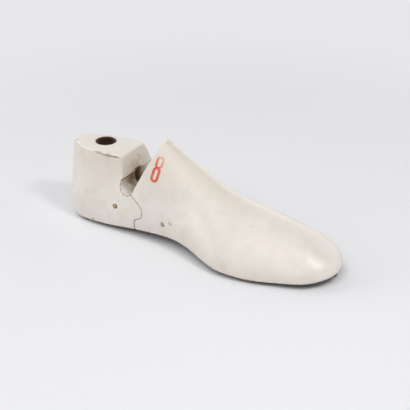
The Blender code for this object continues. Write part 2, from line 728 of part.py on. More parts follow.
def mortise_cutters(heelpart, forepart):
    """Slots for the link in both halves, wide enough for its swing and travel."""
    width = LINK_THICKNESS + 2 * MORTISE_SIDE
    arm = window_half_height() + LINK_ARM + MORTISE_WALL
    reach = window_back() + LINK_BRIDGE - pin_spacing() + MORTISE_WALL
    swing_drop = reach * math.sin(HEEL_SWING)
    back_x = from_link(pin_spacing() + reach, -arm)[0]
    back_top = from_link(pin_spacing() + reach, arm)[1]
    floor = from_link(pin_spacing() + reach, 0)[1] - swing_drop - arm
    past_nose = NOSE_X + NOSE_RADIUS * 1.5
    heel_slot = rounded([
        (back_x, floor, LINK_BRIDGE), (past_nose, floor, 0), (past_nose, MOUTH_HEIGHT, 0),
        (POCKET_X - POCKET_RADIUS, MOUTH_HEIGHT, 0), (REAR_PIN_X - reach / 3, back_top, 0),
        (back_x, back_top, LINK_BRIDGE)])
    heel_mortise = flat_mesh("heel_mortise", [heel_slot], width, LINK_PLANE)
    boolean(heelpart, add_cutter("heel_mortise", heel_mortise))
    tail = LINK_TAIL_LENGTH + MORTISE_WALL * 2
    eye = LINK_EYE_RADIUS + MORTISE_WALL
    bar = LINK_BAR_HEIGHT / 2 + MORTISE_WALL
    run = FRONT_PIN_X - THROAT_X + MORTISE_SIDE
    lift = run * math.sin(LINK_LIFT)
    front_x = FRONT_PIN_X + tail
    mouth_x = THROAT_X - NOSE_RADIUS / 2
    mouth_up = from_link(run, bar)[1] + lift
    mouth_low = from_link(run, -bar)[1]
    fore_slot = rounded([
        (mouth_x, mouth_low, 0), (FRONT_PIN_X, FRONT_PIN_Z - eye, 0),
        (front_x, FRONT_PIN_Z - eye, LINK_BRIDGE), (front_x, FRONT_PIN_Z + bar, LINK_BRIDGE / 2),
        (FRONT_PIN_X, FRONT_PIN_Z + eye, 0), (mouth_x, mouth_up, 0)])
    fore_mortise = flat_mesh("forepart_mortise", [fore_slot], width, LINK_PLANE)
    boolean(forepart, add_cutter("forepart_mortise", fore_mortise))


def joint_empty(name, x, z, angle=0.0):
    empty = bpy.data.objects.new(name, None)
    bpy.context.scene.collection.objects.link(empty)
    empty.location = (x, LINK_PLANE, z)
    empty.rotation_euler = (0, angle, 0)
    empty.empty_display_size = NOSE_RADIUS
    return empty


def hang(child, parent):
    """Parent without moving the child."""
    bpy.context.view_layer.update()
    placed = child.matrix_world.copy()
    child.parent = parent
    child.matrix_parent_inverse = parent.matrix_world.inverted()
    child.matrix_world = placed


def build():
    clear_scene()
    whole = last_mesh()
    bodies = bmesh.new()
    bodies.from_mesh(whole)
    surface = BVHTree.FromBMesh(bodies)
    bodies.free()
    full_plate = plate_mesh()

    wide = BALL_WIDTH * 2
    heel_side = add_cutter("heel_side", flat_mesh("heel_side", [heel_outline()], wide))
    fore_side = add_cutter("forepart_side", flat_mesh("forepart_side", [forepart_outline()], wide))
    forepart = add_part("forepart", whole.copy(), "last_plastic")
    heelpart = add_part("heelpart", whole.copy(), "last_plastic")
    forepart_plate = add_part("forepart_plate", full_plate.copy(), "plate_steel")
    heel_plate = add_part("heel_plate", full_plate.copy(), "plate_steel")
    for half in (forepart, forepart_plate):
        boolean(half, fore_side, "INTERSECT")
    for half in (heelpart, heel_plate):
        boolean(half, heel_side, "INTERSECT")
    mortise_cutters(heelpart, forepart)

    front_pin = cross_pin("front_pin", surface, FRONT_PIN_X, FRONT_PIN_Z, PIN_RADIUS, [forepart])
    rear_pin = cross_pin("rear_pin", surface, REAR_PIN_X, REAR_PIN_Z, PIN_RADIUS, [heelpart])
    stop_x, stop_z = stop_pin_place()
    stop_pin = cross_pin("stop_pin", surface, stop_x, stop_z, STOP_PIN_RADIUS, [forepart])
    thimble = thimble_part(heelpart)
    link, spring, saddle = link_part(), spring_part(), saddle_part()
    heel_nails = [nail_part(f"heel_plate_nail_{i}", surface, heel_plate, heelpart, *place)
                  for i, place in enumerate(HEEL_NAILS, 1)]
    fore_nails = [nail_part(f"forepart_plate_nail_{i}", surface, forepart_plate, forepart, *place)
                  for i, place in enumerate(FOREPART_NAILS, 1)]

    front_axis = joint_empty("front_pin_axis", FRONT_PIN_X, FRONT_PIN_Z)
    slide_axis = joint_empty("saddle_slide_axis", REAR_PIN_X, REAR_PIN_Z, link_angle())
    rear_axis = joint_empty("rear_pin_axis", REAR_PIN_X, REAR_PIN_Z)
    origin = joint_empty("last_origin", 0, 0)
    origin.location = (0, 0, 0)
    hang(slide_axis, front_axis)
    hang(rear_axis, slide_axis)
    hang(front_axis, origin)
    for part in [forepart, forepart_plate, front_pin, stop_pin] + fore_nails:
        hang(part, origin)
    for part in (link, spring):
        hang(part, front_axis)
    hang(saddle, slide_axis)
    for part in [heelpart, heel_plate, rear_pin, thimble] + heel_nails:
        hang(part, rear_axis)
    for cutter in CUTTERS.objects:
        hang(cutter, origin)

    corners = [v.co for v in whole.vertices]
    floor = min(v.co.z for v in full_plate.vertices)
    middle = Vector((sum(f(c.x for c in corners) for f in (min, max)) / 2,
                     sum(f(c.y for c in corners) for f in (min, max)) / 2, floor))
    origin.location = -middle
    bpy.context.view_layer.update()
    for empty in (front_axis, rear_axis):
        print(empty.name, [round(v, 5) for v in empty.matrix_world.translation])
    print("link angle (deg):", round(math.degrees(link_angle()), 3))
    print("thimble", [round(v, 5) for v in thimble.matrix_world.translation])


build()
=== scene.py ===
# %% [markdown]
# # A hinged shoemaker's last
#
# A last is the solid form that a shoe is built round. This one is for a right foot. It is turned
# from off-white polyethylene, sawn in two at the waist and joined again by a sprung steel link,
# so that the heel can swing up and let the finished shoe slip off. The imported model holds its
# sizes and its joints. This lesson gives every piece the surface of the real thing.

# %% Load the frame
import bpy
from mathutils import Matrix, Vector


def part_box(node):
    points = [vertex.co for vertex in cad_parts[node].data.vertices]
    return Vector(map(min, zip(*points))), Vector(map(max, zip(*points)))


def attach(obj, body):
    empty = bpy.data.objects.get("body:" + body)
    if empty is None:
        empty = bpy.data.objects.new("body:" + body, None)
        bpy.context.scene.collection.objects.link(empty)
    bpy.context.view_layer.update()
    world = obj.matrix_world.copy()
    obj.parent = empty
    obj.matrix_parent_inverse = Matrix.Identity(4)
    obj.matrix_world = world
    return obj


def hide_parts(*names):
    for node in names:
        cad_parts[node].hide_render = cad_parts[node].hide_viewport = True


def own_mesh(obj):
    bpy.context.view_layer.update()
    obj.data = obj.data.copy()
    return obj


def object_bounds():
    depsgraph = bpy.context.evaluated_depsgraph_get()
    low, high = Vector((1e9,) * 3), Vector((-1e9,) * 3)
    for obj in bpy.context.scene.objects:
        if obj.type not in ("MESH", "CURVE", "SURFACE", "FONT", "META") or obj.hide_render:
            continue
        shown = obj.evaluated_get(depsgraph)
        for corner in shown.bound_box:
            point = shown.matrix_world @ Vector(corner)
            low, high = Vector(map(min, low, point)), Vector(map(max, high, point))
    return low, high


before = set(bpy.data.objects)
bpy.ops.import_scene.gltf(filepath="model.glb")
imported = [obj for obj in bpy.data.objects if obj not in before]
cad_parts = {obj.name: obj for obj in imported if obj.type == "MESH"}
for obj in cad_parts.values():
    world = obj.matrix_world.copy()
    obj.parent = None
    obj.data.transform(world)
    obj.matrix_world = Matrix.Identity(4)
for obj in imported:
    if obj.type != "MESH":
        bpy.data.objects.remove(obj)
cad_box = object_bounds()

# %% Bring in the tools
import math
import random
from contextlib import contextmanager
from functools import partial

import bpy
from mathutils import Matrix, Vector
from mathutils.kdtree import KDTree

MM = 0.001


def in_mm(sizes):
    """Sizes in millimetres, rounded for print."""
    return [round(size / MM, 2) for size in sizes]


print("the model's box:", in_mm(cad_box[0]), in_mm(cad_box[1]), "mm")

# %% [markdown]
# ## The camera
#
# The photograph looks down on the outer side of the last from about 29 degrees, with a long lens
# from about a metre away. A long lens keeps parallel edges nearly parallel, which is why the last
# looks so calm. The camera stands on a sphere round a point inside the last, so its place follows
# from two angles and a distance.

# %% Set up the camera
AZIMUTH = math.radians(31.4)
ELEVATION = math.radians(28.6)
DISTANCE = 1.0225
LENS = 99.0
LOOK_AT = Vector((-0.0029, 0.0136, 0.0299))


def put_on_sphere(data, azimuth, elevation, distance):
    """Add a camera or a lamp that looks at the last from a place on a sphere round it."""
    away = Vector((math.sin(azimuth) * math.cos(elevation), -math.cos(azimuth) * math.cos(elevation),
                   math.sin(elevation)))
    viewer = bpy.data.objects.new(data.name, data)
    bpy.context.scene.collection.objects.link(viewer)
    viewer.location = LOOK_AT + away * distance
    viewer.rotation_euler = away.to_track_quat("Z", "Y").to_euler()
    return viewer


camera = put_on_sphere(bpy.data.cameras.new("camera"), AZIMUTH, ELEVATION, DISTANCE)
camera.data.lens = LENS
bpy.context.scene.camera = camera
print("camera at", in_mm(camera.location), "mm")

# %% [markdown]
# ## Colours and nodes
#
# Colours are easiest to pick as sRGB hex values, as a paint program shows them, but a shader
# works with linear light. One function turns the first into the second. Another adds a node with
# its settings and its links. Each material starts with that function tied to its own node tree, so
# that all materials below read as lists of steps.

# %% Colour and node helpers
# Sockets of a Mix node that mixes colours. Those of a Map Range are written by number: 0 is the
# value, 1 and 2 are where it begins and is full, and 3 and 4 are what comes out there, 0 and 1 if
# nothing is said.
MIX_FACTOR, MIX_A, MIX_B = 0, 6, 7
SOFT = {"interpolation_type": "SMOOTHSTEP"}


def linear(code):
    """Linear RGBA from an sRGB hex value."""
    channels = [int(code[i:i + 2], 16) / 255 for i in (0, 2, 4)]
    return (*[c / 12.92 if c <= 0.04045 else ((c + 0.055) / 1.055) ** 2.4 for c in channels], 1.0)


def set_inputs(node, inputs):
    """Give each socket its value, or link it to the output, or to the node, that feeds it."""
    for socket, value in inputs.items():
        if isinstance(value, bpy.types.Node):
            value = next(output for output in value.outputs if output.enabled)
        if isinstance(value, bpy.types.NodeSocket):
            node.id_data.links.new(value, node.inputs[socket])
        else:
            node.inputs[socket].default_value = value


def add_node(tree, kind, inputs=None, **settings):
    """Add a shader node of a kind such as Math, with its settings and its inputs."""
    node = tree.nodes.new("ShaderNode" + kind)
    for name, value in settings.items():
        setattr(node, name, value)
    set_inputs(node, inputs or {})
    return node


def start_material(name):
    """A new material, what adds its nodes, its shader and its Object coordinates, here in metres."""
    material = bpy.data.materials.new(name)
    material.use_nodes = True
    add = partial(add_node, material.node_tree)
    return material, add, material.node_tree.nodes["Principled BSDF"], add("TexCoord").outputs["Object"]


def per(size_in_mm):
    """Texture scale at which one feature is this many millimetres across."""
    return 1 / (size_in_mm * MM)


print("paper white in linear light:", [round(c, 3) for c in linear("F2F2F2")])

# %% [markdown]
# ## Floor and light
#
# The last stands on a white sweep in soft studio light. Large softboxes stand round it on a sphere,
# each at the strength that gives its side of the last the brightness it has in the photograph. The
# low ones reach under the arch of the sole. The key softbox is small and makes the bright spot on
# the toe. The floor is a paper sweep: close to the last it takes light and shadow, and further off
# it turns into the plain pale backdrop. Only rays that show the backdrop see it, straight, mirrored
# or through glass, so it adds no light to the last.

# %% Lay the floor
FLOOR_COLOUR = "EBEBEE"
FLOOR_SIZE = 12.0
BACKDROP_COLOUR = "E8E8EA"
SWEEP_STARTS = 0.22
SWEEP_ENDS = 0.60


def backdrop_rays(add):
    """1 for rays that show the backdrop and 0 for those that carry light."""
    rays = add("LightPath").outputs
    seen = rays["Is Camera Ray"]
    for kind in ("Is Glossy Ray", "Is Transmission Ray"):
        seen = add("Math", {0: seen, 1: rays[kind]}, operation="ADD", use_clamp=True)
    return seen


def add_floor():
    bpy.ops.mesh.primitive_plane_add(size=FLOOR_SIZE, location=(0, 0, cad_box[0][2]))
    floor = bpy.context.object
    floor.name = "studio_floor"
    material, add, shader, place = start_material("white paper sweep")
    set_inputs(shader, {"Base Color": linear(FLOOR_COLOUR), "Roughness": 0.9, "Specular IOR Level": 0.1})
    reach = add("VectorMath", {0: place}, operation="LENGTH")
    far = add("MapRange", {0: reach, 1: SWEEP_STARTS, 2: SWEEP_ENDS}, **SOFT)
    share = add("Math", {0: far, 1: backdrop_rays(add)}, operation="MULTIPLY")
    backdrop = add("Emission", {"Color": linear(BACKDROP_COLOUR), "Strength": 1.0})
    sheet = add("MixShader", {0: share, 1: shader, 2: backdrop})
    set_inputs(material.node_tree.nodes["Material Output"], {"Surface": sheet})
    floor.data.materials.append(material)


add_floor()
print("floor at z =", round(cad_box[0][2], 5))

# %% Light the last
SURROUND_STRENGTH = 0.03
SOFTBOX_DISTANCE = 1.3
# Azimuth from the camera and elevation in degrees, width and height in metres, power in watts.
SOFTBOXES = {
    "key softbox": (50, 52, 0.24, 0.24, 3.9),
    "front softbox": (-20, 45, 1.00, 1.00, 5.4),
    "overhead softbox": (0, 70, 1.10, 1.10, 4.2),
    "left softbox": (-90, 18, 1.00, 0.80, 6.0),
    "right softbox": (90, 28, 0.60, 0.50, 1.7),
    "right front softbox": (45, 20, 1.00, 0.80, 1.5),
    "right rear softbox": (145, 24, 1.20, 1.00, 4.2),
    "left rear softbox": (-135, 42, 1.20, 1.20, 4.9),
}


def add_softbox(name, azimuth, elevation, width, height, power):
    lamp = bpy.data.lights.new(name, "AREA")
    lamp.shape = "RECTANGLE"
    lamp.size = width
    lamp.size_y = height
    lamp.energy = power
    put_on_sphere(lamp, AZIMUTH + math.radians(azimuth), math.radians(elevation), SOFTBOX_DISTANCE)


def add_light():
    world = bpy.data.worlds.new("white surround")
    bpy.context.scene.world = world
    world.use_nodes = True
    add = partial(add_node, world.node_tree)
    strength = add("MapRange", {0: backdrop_rays(add), 3: SURROUND_STRENGTH, 4: 1.0})
    surround = world.node_tree.nodes["Background"]
    set_inputs(surround, {"Color": linear(BACKDROP_COLOUR), "Strength": strength})
    for name, settings in SOFTBOXES.items():
        add_softbox(name, *settings)
    bpy.context.scene.view_settings.view_transform = "Standard"


add_light()
print("lamps:", [light.name for light in bpy.data.lights])

# %% [markdown]
# ## Measures of the last
#
# The dressed pieces have to lie where the model's are, so they are built from the same measures.
# X runs from heel to toe, Y to the inner side and Z up, from the back of the heel at floor level.
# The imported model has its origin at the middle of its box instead. The front pin and the link tell
# how far the two are apart, because their places are known in both.

# %% Sizes, in metres
LAST_LENGTH = 0.276
SEAT_WIDTH = 0.057
WAIST_WIDTH = 0.054
BALL_WIDTH = 0.092
HEEL_HEIGHT = 0.0715
CONE_HEIGHT = 0.091
BALL_HEIGHT = 0.0523
SEAT_EDGE = 0.0035
SHANK_EDGE = 0.0095
BALL_EDGE = 0.0042
BOTTOM_CROWN = 0.0032
JACK_STOCK = 0.0085
CLEARANCE = 0.0003

FRONT_PIN = Vector((0.1153, 0.0060, 0.0219))
REAR_PIN = Vector((0.0628, 0.0060, 0.0252))
PIN_RADIUS = 0.0020
STOP_PIN_RADIUS = 0.0013


def middle(node):
    low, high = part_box(node)
    return (Vector(low) + Vector(high)) / 2


SHIFT = Vector((middle("front_pin").x - FRONT_PIN.x, middle("hinge_link").y - FRONT_PIN.y,
                middle("front_pin").z - FRONT_PIN.z))
print("the model's origin lies at", in_mm(-SHIFT), "mm")

# %% [markdown]
# ## The shape of the foot
#
# A last has hardly a straight line in it. Last makers describe it by sections, so this one is
# drawn by 24 ribs that stand round its bottom edge, called the feather edge. Each rib is a curve
# from a foot point on that edge to a top point on the crown. It leaves the foot outwards and
# upwards and comes in under the crown. Between the ribs a smooth blend gives as many more as the
# surface needs. Along the instep both sides share one ridge line.

# %% The ribs
# Percentages: foot x of LAST_LENGTH, foot y of the zone's half width, foot z of its edge height,
# top x of LAST_LENGTH, top y of half BALL_WIDTH, top z of the zone's height, then the swell off
# the foot (out of BALL_WIDTH, up of CONE_HEIGHT) and the one under the crown (out, down).
RIBS = [
    ("seat", 2.0, 0, 100, 1.6, 0, 100, 8.7, 24, 0.0, 33),
    ("seat", 2.8, -53, 100, 2.1, -16.5, 100, 7.6, 22, 0.0, 31),
    ("seat", 7.9, -92, 103, 10.4, -35, 100, 5.4, 20, 4.7, 31),
    ("seat", 18.4, -99, 130, 23.1, -28.5, 100, 4.3, 20, 3.9, 31),
    ("waist", 31.2, -99, 80, 33.7, 6.5, 100, 6.5, 22, 19.8, 3.3),
    ("waist", 43.4, -100, 100, 42.6, 7.5, 88, 7.6, 22, 20.7, 1),
    ("waist", 51.7, -119, 95, 50.8, 6, 74.7, 6.5, 19, 20.7, 0),
    ("ball", 59.7, -90, 167, 57.7, 4, 113, 4.3, 16.5, 21.7, 0),
    ("ball", 66.5, -101.5, 121, 65.0, 4.5, 100, 3.3, 14, 23.9, 0),
    ("ball", 76.0, -97, 98, 73.4, 6.5, 91, 2.2, 13, 23.9, 0),
    ("ball", 83.6, -84, 109, 82.2, 7.2, 80, 2.8, 12, 20.7, 0),
    ("ball", 94.6, -58, 160, 87.0, 9, 73, 3.6, 11, 16.0, 0),
    ("ball", 100.0, -7, 222, 90.6, 10.5, 64, 5.2, 9, 13.0, 0),
    ("ball", 96.8, 48, 219, 0, 0, 0, 5.2, 12, 16.0, 0),
    ("ball", 88.2, 77, 170, 0, 0, 0, 3.6, 12.8, 17.0, 0),
    ("ball", 79.0, 90, 133, 0, 0, 0, 2.7, 13, 17.0, 0),
    ("ball", 69.3, 85, 131, 0, 0, 0, 2.3, 13.5, 16.3, 0),
    ("ball", 60.6, 62.5, 190, 0, 0, 0, 3.9, 15.5, 17.4, 0),
    ("waist", 51.4, 81, 110, 0, 0, 0, 6.6, 19, 17.3, 0),
    ("waist", 42.1, 72, 110, 0, 0, 0, 8.7, 22, 17.4, 1.4),
    ("waist", 31.5, 83, 90, 0, 0, 0, 12.5, 22, 21.0, 3.3),
    ("seat", 18.8, 95, 143, 23.5, 28.5, 100, 5.5, 22, 27.0, 27),
    ("seat", 9.4, 95, 105, 9.5, 30, 100, 5.0, 20, 9.0, 29.5),
    ("seat", 3.6, 53, 100, 2.4, 15, 100, 7.0, 22, 2.0, 31),
]
RIDGE_START = 4
TOE_RIB = 12
ZONES = {
    "seat": (SEAT_WIDTH / 2, SEAT_EDGE, HEEL_HEIGHT + JACK_STOCK),
    "waist": (WAIST_WIDTH / 2, SHANK_EDGE, CONE_HEIGHT),
    "ball": (BALL_WIDTH / 2, BALL_EDGE, BALL_HEIGHT),
}


def rib_in_metres(number):
    rib = RIBS[number]
    half_width, edge, _ = ZONES[rib[0]]
    mirrored = RIDGE_START <= len(RIBS) - number < TOE_RIB
    crown = RIBS[len(RIBS) - number] if mirrored else rib
    whole = (LAST_LENGTH, half_width, edge, LAST_LENGTH, BALL_WIDTH / 2, ZONES[crown[0]][2],
             BALL_WIDTH, CONE_HEIGHT, BALL_WIDTH, CONE_HEIGHT)
    return [share / 100 * size for share, size in zip(rib[1:4] + crown[4:7] + rib[7:11], whole)]


ROWS = [rib_in_metres(number) for number in range(len(RIBS))]
print(len(ROWS), "ribs, the tallest", round(max(row[5] for row in ROWS) * 1000, 1), "mm")

# %% Blend between the ribs
RIBS_PER_STATION = 10
STEPS_UP = 34
STATION_STEP = 0.2


def blended(station):
    """The rib at any station, on a smooth closed curve through all the ribs."""
    first = math.floor(station)
    t = station - first
    near = [ROWS[(first + k) % len(ROWS)] for k in (-1, 0, 1, 2)]
    return [0.5 * (2 * q + (r - p) * t + (2 * p - 5 * q + 4 * r - s) * t ** 2
                   + (3 * q - p - 3 * r + s) * t ** 3) for p, q, r, s in zip(*near)]


def outward_at(station):
    before = Vector(blended(station - STATION_STEP)[0:2])
    after = Vector(blended(station + STATION_STEP)[0:2])
    along = (after - before).normalized()
    return Vector((along.y, -along.x, 0))


def ridge_slope(side, outward):
    """Rise of the ridge per metre outwards, so that the two sides meet in one smooth surface."""
    if side < RIDGE_START:
        return 0.0
    back = Vector(blended(max(side - STATION_STEP, RIDGE_START))[3:6])
    ahead = Vector(blended(min(side + STATION_STEP, TOE_RIB))[3:6])
    run = ahead - back
    return outward.xy.dot(run.xy) * run.z / run.xy.length_squared


def rib_curve(station):
    """Points up one rib, from the feather edge to the crown."""
    row = blended(station)
    side = min(station, len(ROWS) - station)
    outward = outward_at(station)
    foot = Vector(row[0:3])
    top = Vector((blended(side) if side >= RIDGE_START else row)[3:6])
    low = foot + outward * row[6] + Vector((0, 0, row[7]))
    high = top + outward * row[8] + Vector((0, 0, ridge_slope(side, outward) * row[8] - row[9]))
    shares = [k / STEPS_UP for k in range(STEPS_UP + 1)]
    return [foot * (1 - t) ** 3 + low * 3 * t * (1 - t) ** 2 + high * 3 * t ** 2 * (1 - t) + top * t ** 3
            for t in shares]


STATIONS = len(RIBS) * RIBS_PER_STATION
HALF_WAY = TOE_RIB * RIBS_PER_STATION
ribs = [rib_curve(i / RIBS_PER_STATION) for i in range(STATIONS)]
print(len(ribs), "blended ribs of", len(ribs[0]), "points")

# %% [markdown]
# ## Edit mode helpers
#
# The tools of edit mode act on what is selected, in the object that is active. These helpers keep
# that in one spot: one opens edit mode on an object with all of it selected, and one picks faces by
# the way that they look and insets them. Others apply a modifier, or cut a piece with a block that
# is then thrown away.

# %% Modelling helpers
WELD_DISTANCE = 0.00001
SAME_WAY = 0.9


def only(piece):
    bpy.ops.object.select_all(action="DESELECT")
    piece.select_set(True)
    bpy.context.view_layer.objects.active = piece


def new_piece(name):
    """Name the primitive that was just added and keep it as the only selected object."""
    piece = bpy.context.object
    piece.name = piece.data.name = name
    only(piece)
    return piece


@contextmanager
def editing(piece):
    """Edit mode on one object, with all of it selected."""
    only(piece)
    bpy.ops.object.mode_set(mode="EDIT")
    bpy.ops.mesh.select_all(action="SELECT")
    yield
    bpy.ops.object.mode_set(mode="OBJECT")


def extrude(piece, *move):
    """Draw all of a flat piece out by a move, which gives it a thickness."""
    with editing(piece):
        bpy.ops.mesh.extrude_region_move(TRANSFORM_OT_translate={"value": move})
    weld(piece)


def inset_ends(piece, directions, insets):
    """Inset the faces that look up (1) or down (-1), once for each thickness and depth."""
    for face in piece.data.polygons:
        face.select = any(face.normal.z * direction > SAME_WAY for direction in directions)
    for edge in piece.data.edges:
        edge.select = False
    only(piece)
    bpy.ops.object.mode_set(mode="EDIT")
    bpy.ops.mesh.select_mode(type="FACE")
    for thickness, depth in insets:
        bpy.ops.mesh.inset(thickness=thickness, depth=depth)
    bpy.ops.object.mode_set(mode="OBJECT")


def apply_modifier(piece, kind, **settings):
    modifier = piece.modifiers.new(kind.lower(), kind)
    for setting, value in settings.items():
        setattr(modifier, setting, value)
    only(piece)
    bpy.ops.object.modifier_apply(modifier=modifier.name)


def weld(piece):
    """Merge points that lie together and turn all faces outwards."""
    with editing(piece):
        bpy.ops.mesh.remove_doubles(threshold=WELD_DISTANCE)
        bpy.ops.mesh.normals_make_consistent(inside=False)


def closed_line(name, places, fill_type="NOTHING"):
    """A ring of points, moved to their places."""
    bpy.ops.mesh.primitive_circle_add(vertices=len(places), fill_type=fill_type)
    ring = new_piece(name)
    for point, place in zip(ring.data.vertices, places):
        point.co = place
    return ring


def combine(piece, cutter, operation="DIFFERENCE"):
    apply_modifier(piece, "BOOLEAN", object=cutter, operation=operation, solver="EXACT")
    bpy.data.objects.remove(cutter, do_unlink=True)


def copy_of(piece, name):
    only(piece)
    bpy.ops.object.duplicate()
    return new_piece(name)


def settle(piece, scale=(1, 1, 1), lift=0.0):
    """Move a finished piece into the model's frame and put its place into its mesh."""
    piece.location += SHIFT + Vector((0, 0, lift))
    only(piece)
    bpy.ops.object.transform_apply(location=True, rotation=True, scale=True)
    piece.scale = scale
    bpy.ops.object.transform_apply(location=True, rotation=True, scale=True)


print("modelling helpers ready")

# %% [markdown]
# ## Wrapping the last in a sheet
#
# The body could be carved from a box or grown by subdivision, but then its sections would have to
# be tuned by eye. It is simpler to take a flat grid and wrap it round the last: x across the grid
# says which rib a point belongs to, and y how far up that rib it goes. A second grid closes the
# bottom, with the slight crown that a real bottom has, and a third closes the block on top of the
# heel. Welding the three gives one closed skin.

# %% Wrap the body
STEPS_ACROSS = 12
STEPS_ON_TOP = 4


def bent_grid(name, columns, rows, place):
    """A flat grid whose points are moved to place(column, row)."""
    bpy.ops.mesh.primitive_grid_add(x_subdivisions=columns, y_subdivisions=rows, size=1)
    sheet = new_piece(name)
    for point in sheet.data.vertices:
        column = round((point.co.x + 0.5) * columns)
        row = round((point.co.y + 0.5) * rows)
        point.co = place(column, row)
    return sheet


def across_bottom(column, share):
    """Point on the crowned bottom, between two facing points of the feather edge."""
    outer, inner = ribs[column][0], ribs[-column % STATIONS][0]
    sag = BOTTOM_CROWN * (inner - outer).length / BALL_WIDTH
    return outer.lerp(inner, share) - Vector((0, 0, sag * 4 * share * (1 - share)))


def whole_last():
    wall = bent_grid("wall", STATIONS, STEPS_UP, lambda i, k: ribs[i % STATIONS][k])
    bottom = bent_grid("bottom", HALF_WAY, STEPS_ACROSS, lambda i, k: across_bottom(i, k / STEPS_ACROSS))
    top = bent_grid("top", RIDGE_START * RIBS_PER_STATION, STEPS_ON_TOP,
                    lambda i, k: ribs[i][-1].lerp(ribs[-i % STATIONS][-1], k / STEPS_ON_TOP))
    only(wall)
    bottom.select_set(True)
    top.select_set(True)
    bpy.ops.object.join()
    last = new_piece("whole_last")
    weld(last)
    return last


last_blank = whole_last()
print("blank:", len(last_blank.data.vertices), "points", in_mm(last_blank.dimensions), "mm")

# %% [markdown]
# ## Two saw cuts
#
# A V is sawn out of the instep so that the heel has room to swing, and it ends in a round pocket.
# Below the pocket the halves meet in a knuckle joint: a round nose on the heel rolls in a hollow
# in the forepart, and under it both stand on a short straight throat. Seen from the side this is
# all straight lines and arcs, so each half is cut out by a thick slab with that outline.

# %% Lines and arcs of the cuts
NOTCH_BACK = 0.0642
NOTCH_BACK_LEAN = math.radians(6.1)
NOTCH_FRONT_LEAN = math.radians(24.5)
POCKET = Vector((0.0735, 0.0462))
POCKET_RADIUS = 0.0075
JOINT_START = math.radians(-47)
NOSE = Vector((0.0826, 0.0256))
NOSE_RADIUS = 0.0100
NOSE_END = math.radians(-25)
THROAT = Vector((0.0842, 0.0170))
THROAT_FILLET = 0.0030
JOINT_GAP = 0.0003
FINE_ARC = math.radians(3)


def arc(centre, radius, start, end, step=FINE_ARC):
    count = max(2, math.ceil(abs(end - start) / step))
    angles = [start + (end - start) * i / count for i in range(count + 1)]
    return [Vector((centre[0] + radius * math.cos(a), centre[1] + radius * math.sin(a))) for a in angles]


def fillet(before, corner, after, radius):
    """Arc that rounds a corner and touches both of its straight sides."""
    to_before, to_after = (before - corner).normalized(), (after - corner).normalized()
    half = to_before.angle(to_after) / 2
    centre = corner + (to_before + to_after).normalized() * (radius / math.sin(half))
    start = corner + to_before * (radius / math.tan(half)) - centre
    end = corner + to_after * (radius / math.tan(half)) - centre
    first = math.atan2(start.y, start.x)
    turn = (math.atan2(end.y, end.x) - first + math.pi) % math.tau - math.pi
    return arc(centre, radius, first, first + turn)


def rounded(corners):
    """Closed outline from (x, z, radius) corners."""
    outline = []
    for i, (x, z, radius) in enumerate(corners):
        before, after = Vector(corners[i - 1][:2]), Vector(corners[(i + 1) % len(corners)][:2])
        outline += fillet(before, Vector((x, z)), after, radius) if radius else [Vector((x, z))]
    return outline


def sideways(path, distance):
    """Open path moved to its left."""
    moved = []
    for i, point in enumerate(path):
        before = path[i] - path[i - 1] if i else path[1] - path[0]
        after = path[i + 1] - path[i] if i + 1 < len(path) else before
        along = (before.normalized() + after.normalized()).normalized()
        reach = distance / max(0.5, along.dot(after.normalized()))
        moved.append(point + Vector((-along.y, along.x)) * reach)
    return moved


def joint_line():
    """Middle of the knuckle joint, from the pocket down to the bottom."""
    start = POCKET + Vector((math.cos(JOINT_START), math.sin(JOINT_START))) * POCKET_RADIUS
    to_start = start - NOSE
    touch = math.atan2(to_start.y, to_start.x) - math.acos(NOSE_RADIUS / to_start.length)
    nose = arc(NOSE, NOSE_RADIUS, touch, NOSE_END)
    foot = Vector((THROAT.x, -SHANK_EDGE))
    return [start] + nose + fillet(nose[-1], THROAT, foot, THROAT_FILLET) + [foot]


print("joint line:", len(joint_line()), "points")

# %% The outline of each half
POCKET_ARC = math.radians(5)


def heel_outline():
    lean = Vector((math.sin(NOTCH_BACK_LEAN), -math.cos(NOTCH_BACK_LEAN)))
    top = Vector((NOTCH_BACK, HEEL_HEIGHT)) - POCKET
    along = -top.dot(lean)
    beside = (top + lean * along).length
    touch = top + lean * (along - math.sqrt(POCKET_RADIUS ** 2 - beside ** 2))
    pocket = arc(POCKET, POCKET_RADIUS, JOINT_START + math.tau - JOINT_GAP / 2 / POCKET_RADIUS,
                 math.atan2(touch.y, touch.x) % math.tau, POCKET_ARC)
    corners = [(NOTCH_BACK, HEEL_HEIGHT), (-BALL_WIDTH, HEEL_HEIGHT), (-BALL_WIDTH, -SHANK_EDGE)]
    return pocket + [Vector(c) for c in corners] + sideways(joint_line(), -JOINT_GAP / 2)[:0:-1]


def forepart_outline():
    pocket = arc(POCKET, POCKET_RADIUS, JOINT_START + JOINT_GAP / 2 / POCKET_RADIUS, -NOTCH_FRONT_LEAN,
                 POCKET_ARC)
    rise = CONE_HEIGHT + JACK_STOCK - pocket[-1].y
    crown = pocket[-1] + Vector((math.tan(NOTCH_FRONT_LEAN), 1)) * rise
    ahead = LAST_LENGTH + BALL_WIDTH
    corners = [crown, Vector((ahead, crown.y)), Vector((ahead, -SHANK_EDGE))]
    return pocket + corners + sideways(joint_line(), JOINT_GAP / 2)[:0:-1]


def slab(name, outline, thickness, y=0.0):
    """An outline seen from the side, filled and extruded across."""
    block = closed_line(name, [(x, y - thickness / 2, z) for x, z in outline], "NGON")
    extrude(block, 0, thickness, 0)
    return block


def saw_off(piece, name, outline):
    half = copy_of(piece, name)
    combine(half, slab(name + "_slab", outline, BALL_WIDTH * 2), "INTERSECT")
    return half


heelpart = saw_off(last_blank, "heelpart_body", heel_outline())
forepart = saw_off(last_blank, "forepart_body", forepart_outline())
print("heelpart and forepart:", in_mm(heelpart.dimensions), in_mm(forepart.dimensions), "mm")

